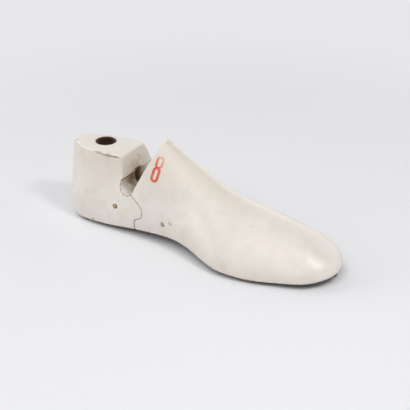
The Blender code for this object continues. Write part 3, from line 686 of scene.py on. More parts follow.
# %% [markdown]
# ## The slot for the link
#
# The link runs in a mortise through both halves, a little wider than the link itself. Its mouth
# shows at the back of the V. The slot has to leave room for the link to swing up in the forepart
# and for the heel to swing over the link, so its corners are worked out from the pins.

# %% Cut the mortises
SPRING_WIRE = 0.0012
SPRING_DIAMETER = 0.0072
SPRING_LENGTH = 0.0164
SPRING_TURNS = 7
SADDLE_LENGTH = 0.0050
LINK_ARM = 0.0026
LINK_BRIDGE = 0.0032
LINK_THICKNESS = 0.0070
LINK_EYE_RADIUS = 0.0060
LINK_BAR_HEIGHT = 0.0090
LINK_TAIL_LENGTH = 0.0125
MORTISE_WALL = 0.0007
MORTISE_SIDE = 0.0005
MOUTH_HEIGHT = 0.0520
HEEL_SWING = math.radians(15)
LINK_LIFT = math.radians(7)
LINK_LEAN = math.atan2(REAR_PIN.z - FRONT_PIN.z, FRONT_PIN.x - REAR_PIN.x)
PIN_SPACING = (REAR_PIN - FRONT_PIN).length


def from_link(along, up):
    """Point given along the link, backwards from the front pin, and across it."""
    return Vector((FRONT_PIN.x - along * math.cos(LINK_LEAN) + up * math.sin(LINK_LEAN),
                   FRONT_PIN.z + along * math.sin(LINK_LEAN) + up * math.cos(LINK_LEAN)))


def heel_slot():
    arm = SPRING_DIAMETER / 2 + CLEARANCE + LINK_ARM + MORTISE_WALL
    reach = SADDLE_LENGTH + CLEARANCE * 2 + SPRING_LENGTH + LINK_BRIDGE + MORTISE_WALL
    end = PIN_SPACING + reach
    back, ceiling = from_link(end, -arm).x, from_link(end, arm).y
    floor = from_link(end, 0).y - reach * math.sin(HEEL_SWING) - arm
    past_nose = NOSE.x + NOSE_RADIUS * 1.5
    return rounded([(back, floor, LINK_BRIDGE), (past_nose, floor, 0), (past_nose, MOUTH_HEIGHT, 0),
                    (POCKET.x - POCKET_RADIUS, MOUTH_HEIGHT, 0), (REAR_PIN.x - reach / 3, ceiling, 0),
                    (back, ceiling, LINK_BRIDGE)])


def forepart_slot():
    eye = LINK_EYE_RADIUS + MORTISE_WALL
    bar = LINK_BAR_HEIGHT / 2 + MORTISE_WALL
    run = FRONT_PIN.x - THROAT.x + MORTISE_SIDE
    front = FRONT_PIN.x + LINK_TAIL_LENGTH + MORTISE_WALL * 2
    mouth = THROAT.x - NOSE_RADIUS / 2
    high = from_link(run, bar).y + run * math.sin(LINK_LIFT)
    low = from_link(run, -bar).y
    return rounded([(mouth, low, 0), (FRONT_PIN.x, FRONT_PIN.z - eye, 0),
                    (front, FRONT_PIN.z - eye, LINK_BRIDGE), (front, FRONT_PIN.z + bar, LINK_BRIDGE / 2),
                    (FRONT_PIN.x, FRONT_PIN.z + eye, 0), (mouth, high, 0)])


SLOT_WIDTH = LINK_THICKNESS + 2 * MORTISE_SIDE
combine(heelpart, slab("heel_slot", heel_slot(), SLOT_WIDTH, FRONT_PIN.y))
combine(forepart, slab("forepart_slot", forepart_slot(), SLOT_WIDTH, FRONT_PIN.y))
print("slots", in_mm([SLOT_WIDTH]), "mm wide")

# %% Bore the holes
THIMBLE = Vector((0.0322, 0.0050, HEEL_HEIGHT))
THIMBLE_RADIUS = 0.0095
THIMBLE_BORE_RADIUS = 0.0079
THIMBLE_LENGTH = 0.0320
THIMBLE_RECESS = 0.0004
PIN_HALVES = {"front_pin": forepart, "stop_pin": forepart, "rear_pin": heelpart}


def bore(piece, radius, start, end, vertices=48):
    """Cut a round hole from one point to another."""
    bpy.ops.mesh.primitive_cylinder_add(vertices=vertices, radius=radius, depth=(end - start).length)
    drill = new_piece("drill")
    drill.location = (start + end) / 2
    drill.rotation_euler = (end - start).to_track_quat("Z", "Y").to_euler()
    combine(piece, drill)


def pin_radius(node):
    return STOP_PIN_RADIUS if node == "stop_pin" else PIN_RADIUS


across = Vector((0, BALL_WIDTH, 0))
for node, half in PIN_HALVES.items():
    centre = middle(node) - SHIFT
    bore(half, pin_radius(node) + CLEARANCE, centre - across, centre + across)
bore(heelpart, THIMBLE_RADIUS + CLEARANCE, THIMBLE + Vector((0, 0, JACK_STOCK)),
     THIMBLE - Vector((0, 0, THIMBLE_LENGTH + THIMBLE_RECESS + CLEARANCE)), 96)
print("bored the thimble's socket and", len(PIN_HALVES), "pin holes")

# %% [markdown]
# ## Years of use
#
# Fresh from the saw every edge would be sharp. A last is knocked about for years, and its plastic
# edges round over. A bevel would need clean edge loops, which the saw cuts don't leave. A voxel
# remesh doesn't mind: it rebuilds the whole skin from small cells. A few rounds of smoothing then
# soften all its edges a little. Many more round over the rims of the flat top and of the V, where
# hands and hooks rub, while the sawn pocket stays crisp. In the end the skin is thinned to fewer
# triangles, and knocks and chips are pressed in, most of them along the feather edge.

# %% Soften the edges
BODY_CELL = 0.00052
SKIN_TRIANGLES = 188000
ALL_OVER_PASSES = 6
TOP_RIM_PASSES = 30
FACE_RIM_PASSES = 130
RIM_DEPTH = 0.0050
FACE_RIM_DEPTH = 0.0060
CRISP_REACH = 0.0110
CRISP_SHARE = 0.15
INNER_SHARE = 0.25
OUTER_FROM = 0.006
OUTER_FULL = -0.002


def rebuild(piece, cell):
    """New skin of small cells, all of one size."""
    apply_modifier(piece, "REMESH", mode="VOXEL", voxel_size=cell, use_smooth_shade=True)


def smooth_where(piece, name, weight_at, passes):
    """Smooth only where the weight says so; it goes from 0 to 1 with the place in the last."""
    group = piece.vertex_groups.new(name=name)
    for point in piece.data.vertices:
        weight = weight_at(point.co)
        if weight > 0:
            group.add([point.index], weight, "REPLACE")
    apply_modifier(piece, "SMOOTH", factor=0.5, iterations=passes, vertex_group=name)
    piece.vertex_groups.clear()


def ramp(value, none, full):
    """0 at none, 1 at full, straight in between."""
    return min(1.0, max(0.0, (value - none) / (full - none)))


def off_pocket(point):
    """0 in the pocket and on its ledge, 1 everywhere else."""
    return ramp(math.hypot(point.x - POCKET.x, point.z - POCKET.y), CRISP_REACH * 0.8, CRISP_REACH)


def off_thimble(point):
    reach = math.hypot(point.x - THIMBLE.x, point.y - THIMBLE.y)
    return ramp(reach, THIMBLE_RADIUS * 1.1, THIMBLE_RADIUS * 1.4)


def outer_side(point):
    return INNER_SHARE + (1 - INNER_SHARE) * ramp(point.y, OUTER_FROM, OUTER_FULL)


def all_over(point):
    """The sawn pocket and its ledge stay crisp, because nothing rubs on them."""
    return CRISP_SHARE + (1 - CRISP_SHARE) * off_pocket(point)


def top_rim(point):
    """The rim of the heel's flat top, where the hand goes."""
    near_top = ramp(point.z, HEEL_HEIGHT - RIM_DEPTH, HEEL_HEIGHT - RIM_DEPTH / 2)
    return near_top * off_thimble(point) * outer_side(point)


def face_rim(point):
    """The upright rims of the heel's V face, where the last hook pulls."""
    from_face = abs(point.x - NOTCH_BACK - (HEEL_HEIGHT - point.z) * math.tan(NOTCH_BACK_LEAN))
    above_joint = ramp(point.z, POCKET.y - 2 * CRISP_REACH, POCKET.y - CRISP_REACH)
    near_face = ramp(from_face, FACE_RIM_DEPTH, FACE_RIM_DEPTH / 2)
    return near_face * above_joint * off_pocket(point) * outer_side(point)


for half in (heelpart, forepart):
    rebuild(half, BODY_CELL)
    smooth_where(half, "all_over", all_over, ALL_OVER_PASSES)
smooth_where(heelpart, "top_rim", top_rim, TOP_RIM_PASSES)
smooth_where(heelpart, "face_rim", face_rim, FACE_RIM_PASSES)
for half in (heelpart, forepart):
    apply_modifier(half, "DECIMATE", ratio=min(1.0, SKIN_TRIANGLES / (2 * len(half.data.polygons))))
    print(half.name, len(half.data.polygons), "triangles")

# %% Press in the knocks
KNOCK_COUNT = 22
KNOCK_SEED = 7
KNOCK_RADIUS = (0.0009, 0.0018)
KNOCK_DEPTH = (0.00010, 0.00028)
# Chips that the photograph shows: middle, radius and depth.
PHOTO_CHIPS = [((0.2373, -0.0369, 0.0075), 0.0022, 0.0009), ((0.1906, -0.0480, 0.0045), 0.0020, 0.0006),
               ((0.0383, -0.0287, 0.0050), 0.0016, 0.0006)]


def knock(piece, centre, radius, depth):
    """Push the skin in round a point, most in the middle."""
    for point in piece.data.vertices:
        away = (point.co - centre).length / radius
        if away < 1:
            point.co -= point.normal * depth * (1 - away * away) ** 2


def knock_edges():
    dice = random.Random(KNOCK_SEED)
    knocks = [(Vector(centre), radius, depth) for centre, radius, depth in PHOTO_CHIPS]
    for _ in range(KNOCK_COUNT):
        edge = ribs[dice.randrange(STATIONS)][0]
        knocks.append((edge, dice.uniform(*KNOCK_RADIUS), dice.uniform(*KNOCK_DEPTH)))
    for centre, radius, depth in knocks:
        for half in (heelpart, forepart):
            knock(half, centre, radius, depth)
    return len(knocks)


print(knock_edges(), "knocks")

# %% [markdown]
# ## Bottom plates
#
# Nails driven into a shoe have to turn over against something hard, so the bottom is plated with
# blackened sheet steel, in two pieces that part at the joint. The plates follow the crowned bottom.
# One more bent grid makes the sheet, extruding it downwards gives its thickness, and the same
# outlines saw it in two. A small bevel runs along the rim, where the shears left it round.

# %% Make the plates
PLATE_THICKNESS = 0.0014
PLATE_INSET = 0.0022
PLATE_EDGE_ROUND = 0.0004
LARGEST_INSET_SHARE = 0.3
LEAST_SLANT = 0.2


def plate_point(column, row):
    if column in (0, HALF_WAY):
        inward = PLATE_INSET if column == 0 else -PLATE_INSET
        return ribs[column][0] + Vector((inward, 0, -CLEARANCE))
    width = (ribs[-column % STATIONS][0] - ribs[column][0]).length
    slant = max(LEAST_SLANT, abs(outward_at(column / RIBS_PER_STATION).y))
    inset = min(LARGEST_INSET_SHARE, PLATE_INSET / width / slant)
    share = inset + (1 - 2 * inset) * row / STEPS_ACROSS
    return across_bottom(column, share) - Vector((0, 0, CLEARANCE))


def full_plate():
    plate = bent_grid("full_plate", HALF_WAY, STEPS_ACROSS, plate_point)
    weld(plate)
    extrude(plate, 0, 0, -PLATE_THICKNESS)
    apply_modifier(plate, "BEVEL", width=PLATE_EDGE_ROUND, segments=2, limit_method="ANGLE",
                   angle_limit=math.radians(50))
    return plate


plate_blank = full_plate()
heel_plate = saw_off(plate_blank, "heel_bottom_plate", heel_outline())
forepart_plate = saw_off(plate_blank, "forepart_bottom_plate", forepart_outline())
for blank in (plate_blank, last_blank):
    bpy.data.objects.remove(blank, do_unlink=True)
print("plates:", len(heel_plate.data.polygons), len(forepart_plate.data.polygons), "faces")

# %% [markdown]
# ## Nails
#
# Each plate is held by countersunk nails. The nail is modelled once: a disc for the head, drawn in
# to the shank by extruding and scaling, and then to the point. The head gets a shallow rim from an
# inset, where the file left it a little proud. It is copied to each place in the model, turned a
# little each time, and the same shape, slightly larger, sinks the plate under it.

# %% Make a nail
NAIL_HEAD_RADIUS = 0.0024
NAIL_SHANK_RADIUS = 0.0011
NAIL_LENGTH = 0.0100
NAIL_POINT = 0.0025
NAIL_TIP_SHARE = 0.08
NAIL_SIDES = 24
FILE_RIM = 0.0005
HEAD_STEP = 0.0002
HEAD_SINK = 0.00012


def draw_nail(name, grow=0.0, below=0.0):
    """A nail that points up, with its head at z = 0, or below it by the stated depth."""
    bpy.ops.mesh.primitive_circle_add(vertices=NAIL_SIDES, radius=NAIL_HEAD_RADIUS + grow,
                                      fill_type="NGON", location=(0, 0, -below))
    nail = new_piece(name)
    bpy.ops.object.transform_apply(location=True, rotation=False, scale=False)
    shank = (NAIL_SHANK_RADIUS + grow) / (NAIL_HEAD_RADIUS + grow)
    steps = [(below, 1.0), (PLATE_THICKNESS, shank), (NAIL_LENGTH - NAIL_POINT - PLATE_THICKNESS, 1.0),
             (NAIL_POINT, NAIL_TIP_SHARE)]
    with editing(nail):
        for rise, scale in steps:
            if rise:
                bpy.ops.mesh.extrude_region_move(TRANSFORM_OT_translate={"value": (0, 0, rise)})
                bpy.ops.transform.resize(value=(scale, scale, 1))
    weld(nail)
    return nail


nail_pattern = draw_nail("nail_pattern")
inset_ends(nail_pattern, [-1], [(FILE_RIM, 0.0), (HEAD_STEP, -HEAD_SINK)])
print("nail:", len(nail_pattern.data.polygons), "faces", in_mm(nail_pattern.dimensions), "mm")

# %% Drive the nails
PLATES = {"heel_plate": heel_plate, "forepart_plate": forepart_plate}
NAIL_SEED = 3


def drive_nails():
    dice = random.Random(NAIL_SEED)
    nails = {}
    for node in sorted(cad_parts):
        if "_nail_" not in node:
            continue
        low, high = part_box(node)
        head = Vector(((low[0] + high[0]) / 2, (low[1] + high[1]) / 2, low[2])) - SHIFT
        sink = draw_nail("sink", CLEARANCE / 2, PLATE_THICKNESS * 2)
        sink.location = head
        combine(PLATES[node.split("_nail_")[0]], sink)
        nail = copy_of(nail_pattern, node.replace("plate_nail", "nail"))
        nail.location = head
        nail.rotation_euler.z = dice.uniform(0, math.tau)
        nails[node] = nail
    bpy.data.objects.remove(nail_pattern, do_unlink=True)
    return nails


nails = drive_nails()
print(len(nails), "nails driven")

# %% [markdown]
# ## The thimble
#
# The thimble is a steel tube let into the top of the heel. The last stands on a pin that goes into
# it while the shoe is made. Its section is a narrow ring with rounded lips, so it is drawn once as
# a small closed outline and spun round its axis.

# %% Spin the thimble
THIMBLE_LIP = 0.0008
SPIN_STEPS = 72


def spin_ring(name, section, centre, steps):
    """Spin a closed outline of (radius, height) points round a vertical axis."""
    ring = closed_line(name, [(radius, 0, height) for radius, height in section])
    with editing(ring):
        bpy.ops.mesh.spin(steps=steps, angle=math.tau, center=(0, 0, 0), axis=(0, 0, 1))
    weld(ring)
    ring.location = centre
    return ring


def thimble_section():
    top, bottom = -THIMBLE_RECESS, -THIMBLE_RECESS - THIMBLE_LENGTH
    wall = THIMBLE_RADIUS - THIMBLE_BORE_RADIUS
    corners = [(THIMBLE_BORE_RADIUS, top, THIMBLE_LIP), (THIMBLE_BORE_RADIUS, bottom, wall / 4),
               (THIMBLE_RADIUS, bottom, wall / 4), (THIMBLE_RADIUS, top, wall / 4)]
    return rounded(corners)[::3]


thimble = spin_ring("thimble_socket", thimble_section(), THIMBLE, SPIN_STEPS)
print("thimble:", in_mm(thimble.dimensions), "mm")

# %% [markdown]
# ## Cross pins
#
# The link turns on a steel pin in the forepart and pulls, through its saddle, on one in the heel. A
# thinner pin over its tail stops it. Such pins are cut from wire, driven in and set a little below
# the skin, so each end is a small disc that the punch has domed. A cylinder gets that end by two
# insets that step outwards.

# %% Set the pins
PIN_SIDES = 32
DOME_STEPS = (0.22, 0.35)


def cross_pin(node, radius):
    low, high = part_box(node)
    length = high[1] - low[1]
    bpy.ops.mesh.primitive_cylinder_add(vertices=PIN_SIDES, radius=radius, depth=length - radius / 4)
    pin = new_piece(node.replace("pin", "cross_pin"))
    inset_ends(pin, [-1, 1], [(radius * share, radius / 16) for share in DOME_STEPS])
    pin.rotation_euler.x = math.pi / 2
    pin.location = middle(node) - SHIFT
    return pin


pins = {node: cross_pin(node, pin_radius(node)) for node in PIN_HALVES}
print("pins:", {node: in_mm(pin.dimensions) for node, pin in pins.items()}, "mm")

# %% [markdown]
# ## The link and its saddle
#
# The link is stamped from thick steel plate, with an eye for the front pin, a tail under the stop
# pin and a window for the spring. The saddle slides in that window and sits on the rear pin. Their
# outlines are right in the model, so each is copied, welded and given the rolled edges and soft
# corners that stamping and years of movement leave.

# %% Copy and soften the link and saddle
LINK_CELL = 0.00035
SADDLE_CELL = 0.00020
STEEL_PASSES = 3


def worn_copy(node, name, cell):
    piece = copy_of(bpy.data.objects[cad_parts[node].name], name)
    piece.parent = None
    piece.matrix_world = Matrix.Identity(4)
    weld(piece)
    rebuild(piece, cell)
    apply_modifier(piece, "SMOOTH", factor=0.5, iterations=STEEL_PASSES)
    return piece


link = worn_copy("hinge_link", "hinge_link_plate", LINK_CELL)
saddle = worn_copy("spring_saddle", "saddle_block", SADDLE_CELL)
print("link:", len(link.data.polygons), "faces; saddle:", len(saddle.data.polygons), "faces")

# %% [markdown]
# ## The spring
#
# A compression spring in the window pushes the saddle forwards, and so pulls the halves together.
# It is a wire section turned and lifted at once, which is what the Screw modifier does. The spring
# is made upright and then laid along the link.

# %% Wind the spring
WIRE_SIDES = 12
STEPS_PER_TURN = 32


def wind_spring():
    radius = (SPRING_DIAMETER - SPRING_WIRE) / 2
    bpy.ops.mesh.primitive_circle_add(vertices=WIRE_SIDES, radius=SPRING_WIRE / 2, fill_type="NGON",
                                      location=(radius, 0, 0), rotation=(math.pi / 2, 0, 0))
    spring = new_piece("hinge_spring_coil")
    bpy.ops.object.transform_apply(location=True, rotation=True, scale=True)
    pitch = (SPRING_LENGTH - SPRING_WIRE) / SPRING_TURNS
    apply_modifier(spring, "SCREW", angle=math.tau, iterations=SPRING_TURNS, screw_offset=pitch,
                   steps=STEPS_PER_TURN, render_steps=STEPS_PER_TURN, use_merge_vertices=True,
                   merge_threshold=WELD_DISTANCE)
    weld(spring)
    start = from_link(PIN_SPACING + SADDLE_LENGTH + CLEARANCE + SPRING_WIRE / 2, 0)
    backwards = Vector((-math.cos(LINK_LEAN), 0, math.sin(LINK_LEAN)))
    spring.location = (start.x, FRONT_PIN.y, start.y)
    spring.rotation_euler = backwards.to_track_quat("Z", "Y").to_euler()
    return spring


spring = wind_spring()
print("spring:", len(spring.data.polygons), "faces")

# %% Put every piece in its place
# The model's flat faces cut across the smooth skin, so the skin is drawn in by a tenth of a
# millimetre or two to stay in its box.
SKIN_SCALE = (0.9985, 0.9970, 1.0)
PLATE_LIFT = 0.00003
SMOOTH_ANGLE = math.radians(35)

steel_pieces = [thimble, spring, *nails.values(), *pins.values()]
for piece in (heelpart, forepart):
    settle(piece, SKIN_SCALE)
for piece in (heel_plate, forepart_plate):
    settle(piece, SKIN_SCALE, PLATE_LIFT)
for piece in steel_pieces:
    settle(piece, lift=PLATE_LIFT)
for piece in [heel_plate, forepart_plate, *steel_pieces]:
    only(piece)
    bpy.ops.object.shade_smooth_by_angle(angle=SMOOTH_ANGLE)
print("all pieces settled in the model's frame")

# %% [markdown]
# ## Aged polyethylene
#
# Lasts like this are turned from a moulded block of high-density polyethylene. It is a waxy, slightly
# translucent plastic. It starts white and ages in soft clouds of warmer and greyer tones. Painted
# shade makes it darker and yellower towards the top, wear scuffs it all over, and the sawn flat top
# of the heel stays pale. Grey-brown grime gathers on the edges, and grime with painted shade in the
# V, its pocket and the mortises. The copying lathe leaves fine rings round it, and use leaves
# scratches. The marks are laid over the base one by one, each with its own mask.

# %% Masks for marks
def laid_over(add, place, under, mask, over, patch=None):
    """A colour laid over another where a mask is white. A patch (mm, and the noise at which the
    colour begins and is full) breaks the mask up, as a stain or worn ink is."""
    if patch:
        size, low, high = patch
        noise = add("TexNoise", {"Vector": place, "Scale": per(size), "Detail": 4.0})
        gate = add("MapRange", {0: noise, 1: low, 2: high})
        mask = add("Math", {0: mask, 1: gate}, operation="MULTIPLY")
    top = linear(over) if isinstance(over, str) else over
    return add("Mix", {MIX_FACTOR: mask, MIX_A: under, MIX_B: top}, data_type="RGBA")


def near(add, place, centre, core, radius, strength=1.0, flatten=(1, 1, 1)):
    """Soft round mask, at its strength inside the core and gone at the radius. To flatten an axis
    to zero makes it a round column along that axis."""
    squeezed = add("VectorMath", {0: place, 1: flatten}, operation="MULTIPLY")
    target = Vector(centre) * Vector(flatten)
    away = add("VectorMath", {0: squeezed, 1: target}, operation="DISTANCE")
    return add("MapRange", {0: away, 1: radius, 2: core, 4: strength}, **SOFT)


def spots(add, place, colour, table):
    """Small stains, each given by its middle in the last, its radius, its strength and its colour."""
    for centre, radius, strength, code in table:
        mask = near(add, place, Vector(centre) + SHIFT, radius * 0.2, radius, strength)
        colour = laid_over(add, place, colour, mask, code, (radius / MM, 0.20, 0.55))
    return colour


print("mask helpers ready")

# %% The plastic itself
PLASTIC = "E6E0D9"
# Each cloud: size in mm, detail, noise at which it begins and is full, strength and colour.
CLOUDS = ((55, 2.0, 0.32, 0.72, 0.9, "E3DAD0"), (26, 2.0, 0.40, 0.75, 0.6, "DCD9D1"))
SCUFFS = ((9, 5.0, 0.38, 0.80, 0.32, "CCC6BC"),)
# Painted shade, darker and yellower towards the top: the height at which it begins, the one at which
# it is full, and its strength.
HANDLED = {1: 0.030, 2: 0.075, 4: 0.7}
HANDLED_COLOUR = "DAD0C2"
# Each attribute: how its dirt is broken up, and its colour.
EDGE_DIRT = {"feather_edge": ((3.5, 0.50, 0.75), "8C7A64"), "joint_line": ((6.0, 0.20, 0.70), "B3A592"),
             "pocket_rim": ((2.5, 0.25, 0.60), "7A6246")}
LATHE_RING = 6.91
RING_HEIGHT = 0.000005
SEEN_SCRATCH = 0.35
SCRATCH_RUNS = {"Scale": (0.12, 1, 1), "Rotation": (0.3, 0.5, 0.7)}
SCRATCH_DEPTH = {1: 0.62, 2: 0.72, 4: -0.000012}
WAXY_GRAIN = 2.2
GRAIN_HEIGHT = 0.00003
SATIN_PATCH = 16
SATIN = {1: 0.3, 2: 0.7, 3: 0.285, 4: 0.36}
POLYETHYLENE = {"IOR": 1.54, "Subsurface Weight": 0.12, "Subsurface Radius": (1.0, 0.8, 0.6),
                "Subsurface Scale": 0.0015}


def clouded(add, place, colour, clouds):
    for size, detail, none, full, strength, code in clouds:
        noise = add("TexNoise", {"Vector": place, "Scale": per(size), "Detail": detail})
        mask = add("MapRange", {0: noise, 1: none, 2: full, 4: strength}, **SOFT)
        colour = laid_over(add, place, colour, mask, code)
    return colour


def base_colour(add, place):
    """Clouded off-white, darker and yellower towards the top as painted shade, and scuffed."""
    colour = clouded(add, place, linear(PLASTIC), CLOUDS)
    height = add("SeparateXYZ", {0: place}).outputs["Z"]
    handled = add("MapRange", {0: height, **HANDLED}, **SOFT)
    return clouded(add, place, laid_over(add, place, colour, handled, HANDLED_COLOUR), SCUFFS)


def plastic_relief(add, place):
    """Lathe rings, handling scratches and a waxy grain, as one height in metres."""
    runs = add("Mapping", {"Vector": place, **SCRATCH_RUNS})
    scratch = add("TexNoise", {"Vector": runs, "Scale": per(SEEN_SCRATCH), "Detail": 2.0})
    deep = add("MapRange", {0: scratch, **SCRATCH_DEPTH})
    # A wave texture is the sine of 20 times its place.
    rings = add("TexWave", {"Vector": place, "Scale": per(LATHE_RING) * math.tau / 20, "Distortion": 0.6},
                wave_type="BANDS", bands_direction="X")
    ring = add("Math", {0: rings, 1: RING_HEIGHT}, operation="MULTIPLY")
    grain = add("TexNoise", {"Vector": place, "Scale": per(WAXY_GRAIN), "Detail": 3.0})
    waxy = add("Math", {0: grain, 1: GRAIN_HEIGHT, 2: ring}, operation="MULTIPLY_ADD")
    height = add("Math", {0: waxy, 1: deep}, operation="ADD")
    return add("Bump", {"Height": height, "Strength": 1.0, "Distance": 1.0})


def aged_polyethylene(name, marks):
    """Clouded off-white plastic; marks lays the piece's own marks over the colour."""
    material, add, shader, place = start_material(name)
    colour = base_colour(add, place)
    for attribute, (patch, code) in EDGE_DIRT.items():
        edge = add("Attribute", attribute_name=attribute).outputs["Fac"]
        colour = laid_over(add, place, colour, edge, code, patch)
    dull = add("TexNoise", {"Vector": place, "Scale": per(SATIN_PATCH), "Detail": 4.0})
    rough = add("MapRange", {0: dull, **SATIN})
    set_inputs(shader, {"Base Color": marks(add, place, colour), "Roughness": rough,
                        "Normal": plastic_relief(add, place), **POLYETHYLENE})
    return material


print("the copying lathe left a ring every", LATHE_RING, "mm")

# %% Measure the edges that gather dirt
EDGE_DIRT_WIDTH = 0.0022
JOINT_DIRT_WIDTH = 0.0011
RIM_DIRT_WIDTH = 0.0007
RIM_BAND = 0.0010
RIM_SLOPES = (0.25, 0.90)


def tree_of(places):
    tree = KDTree(len(places))
    for i, place in enumerate(places):
        tree.insert(place, i)
    tree.balance()
    return tree


def joint_points():
    """Places along the middle of the knuckle joint, half a millimetre apart."""
    path, points = joint_line(), []
    for before, after in zip(path, path[1:]):
        steps = max(1, round((after - before).length / (MM / 2)))
        points += [Vector((*before.lerp(after, k / steps), 0)).xzy for k in range(steps)]
    return points


def pocket_rim(piece):
    """Points where the round pocket comes out through the side of the last."""
    rim = []
    for point in piece.data.vertices:
        place = point.co - SHIFT
        off_circle = abs(math.hypot(place.x - POCKET.x, place.z - POCKET.y) - POCKET_RADIUS)
        if off_circle < RIM_BAND and RIM_SLOPES[0] < abs(point.normal.y) < RIM_SLOPES[1]:
            rim.append(place)
    return rim


def mark_nearness(piece, name, tree, width, flat=False):
    """Store how near each point is to the places in a tree; flat leaves the depth out."""
    nearness = piece.data.attributes.new(name, "FLOAT", "POINT")
    for point, value in zip(piece.data.vertices, nearness.data):
        place = point.co - SHIFT
        if flat:
            place.y = 0
        value.value = max(0.0, 1 - tree.find(place)[2] / width)


feather_tree = tree_of([rib[0] for rib in ribs])
joint_tree = tree_of(joint_points())
for half in (heelpart, forepart):
    mark_nearness(half, "feather_edge", feather_tree, EDGE_DIRT_WIDTH)
    mark_nearness(half, "joint_line", joint_tree, JOINT_DIRT_WIDTH, flat=True)
    mark_nearness(half, "pocket_rim", tree_of(pocket_rim(half)), RIM_DIRT_WIDTH)
print("dirt marked along", list(EDGE_DIRT))

# %% [markdown]
# ## The size figure
#
# The size of a last is stamped on the cone of its forepart, in orange-red ink and with a stencil.
# Here it is the plain figure 8. It could be a text object laid on the surface, but ink has no
# thickness and wears into the plastic, so it is painted in the material. The figure is two rings
# with straight sides, one on the other, in a plane that leans with the V-cut. The ink is patchy,
# and palest at the upper right.

# %% Draw the figure
FIGURE_CENTRE = Vector((0.1040, -0.0157, 0.0693))
FIGURE_UP = Vector((0.10, 0.50, 0.86)).normalized()
FIGURE_RIGHT = FIGURE_UP.cross(Vector((0.27, -0.86, 0.44))).normalized()
FIGURE_OUT = FIGURE_RIGHT.cross(FIGURE_UP)
# Each ring: its middle to the right and up, half of its straight part, radius and width of its line.
FIGURE_RINGS = ((-0.0011, -0.0054, 0.0034, 0.0026, 0.0025), (-0.0009, 0.0057, 0.00215, 0.0026, 0.0020))
FIGURE_HEIGHT = 0.0236
FIGURE_DEPTH = 0.006
INK = "D2461A"
WORN_INK = "E08C68"
INK_WANDER = 0.0009
INK_EDGE = {1: 0.00030, 2: -0.00015}
# The ink is worn most at the upper right: slant of that corner and the wear on the way to it, then
# how much worn ink covers, and how pale it is.
CORNER_SLANT = 1.2
CORNER_WEAR = {1: 0.0, 2: FIGURE_HEIGHT / 2, 3: 0.25}
INK_COVER = {1: 0.1, 2: 0.45, 3: 0.95, 4: 0.62}
INK_PALE = {1: 0.12, 2: 0.42}


def long_ring(add, right, up, ring):
    """Distance inside the line of a ring with straight sides, in metres."""
    middle_right, middle_up, half_straight, radius, width = ring
    beside = add("Math", {0: right, 1: middle_right}, operation="SUBTRACT")
    above = add("Math", {0: up, 1: middle_up}, operation="SUBTRACT")
    on_spine = add("Clamp", {0: above, 1: -half_straight, 2: half_straight})
    off_spine = add("Math", {0: above, 1: on_spine}, operation="SUBTRACT")
    offset = add("CombineXYZ", {"X": beside, "Y": off_spine})
    reach = add("VectorMath", {0: offset}, operation="LENGTH")
    off_line = add("Math", {0: reach, 1: radius}, operation="SUBTRACT")
    away = add("Math", {0: off_line}, operation="ABSOLUTE")
    return add("Math", {0: away, 1: width / 2}, operation="SUBTRACT")


def figure_mask(add, place):
    """Ink mask of the figure, and how far right and up in it a point lies."""
    ruffle = add("TexNoise", {"Vector": place, "Scale": per(1.6), "Detail": 2.0})
    wander = add("Math", {0: ruffle, 1: INK_WANDER, 2: -INK_WANDER / 2}, operation="MULTIPLY_ADD")
    offset = add("VectorMath", {0: place, 1: FIGURE_CENTRE + SHIFT}, operation="SUBTRACT")
    right, up, out = (add("VectorMath", {0: offset, 1: axis}, operation="DOT_PRODUCT")
                      for axis in (FIGURE_RIGHT, FIGURE_UP, FIGURE_OUT))
    lower, upper = (long_ring(add, right, up, ring) for ring in FIGURE_RINGS)
    nearest = add("Math", {0: lower, 1: upper}, operation="MINIMUM")
    ragged = add("Math", {0: nearest, 1: wander}, operation="ADD")
    ink = add("MapRange", {0: ragged, **INK_EDGE}, **SOFT)
    front = add("MapRange", {0: out, 1: -FIGURE_DEPTH * 1.5, 2: -FIGURE_DEPTH}, **SOFT)
    return add("Math", {0: ink, 1: front}, operation="MULTIPLY"), right, up


def stamp_figure(add, place, colour):
    """Lay the ink over the colour, paler and thinner where noise and one corner have worn it."""
    ink, right, up = figure_mask(add, place)
    corner = add("Math", {0: right, 1: CORNER_SLANT, 2: up}, operation="MULTIPLY_ADD")
    wear = add("MapRange", {0: corner, **CORNER_WEAR})
    blot = add("TexNoise", {"Vector": place, "Scale": per(2.4), "Detail": 3.0})
    worn = add("Math", {0: blot, 1: wear}, operation="MULTIPLY")
    spread = add("MapRange", {0: worn, **INK_COVER})
    pale = add("MapRange", {0: worn, **INK_PALE})
    tint = laid_over(add, place, linear(INK), pale, WORN_INK)
    cover = add("Math", {0: ink, 1: spread}, operation="MULTIPLY")
    return laid_over(add, place, colour, cover, tint)


print("figure", in_mm([FIGURE_HEIGHT]), "mm high")

# %% Grime and painted shade in the V-cut and round the pins
# Wax stain with painted shade round each pin hole: its reach and its colour.
PIN_STAIN = 0.0036
PIN_WAX = "A5937C"
# Grime with painted shade in the V: its reach along each axis, its middle and its streaks, then a broad
# and a deep layer, each with its fade and its colour.
V_GRIME_REACH = (0.0200, 0.0230, 0.0270)
V_GRIME_CENTRE = Vector((0.0700, 0.0060, 0.0475))
V_GRIME_RUNS = {"Scale": (1, 0.35, 1), "Rotation": (0.6, 0, 0)}
BROAD_GRIME = {1: 1.0, 2: 0.30, 4: 0.60}
BROAD_GRIME_COLOUR = "A08862"
DEEP_GRIME = {1: 0.50, 2: 0.10, 4: 0.65}
DEEP_GRIME_COLOUR = "6A5238"
# Grime and painted shade in the round pocket, darker towards its middle.
POCKET_MIDDLE_Y = 0.0015
POCKET_GRIME = {1: 0.0225, 2: 0.0075}
POCKET_GRIME_COLOUR = "7A6347"
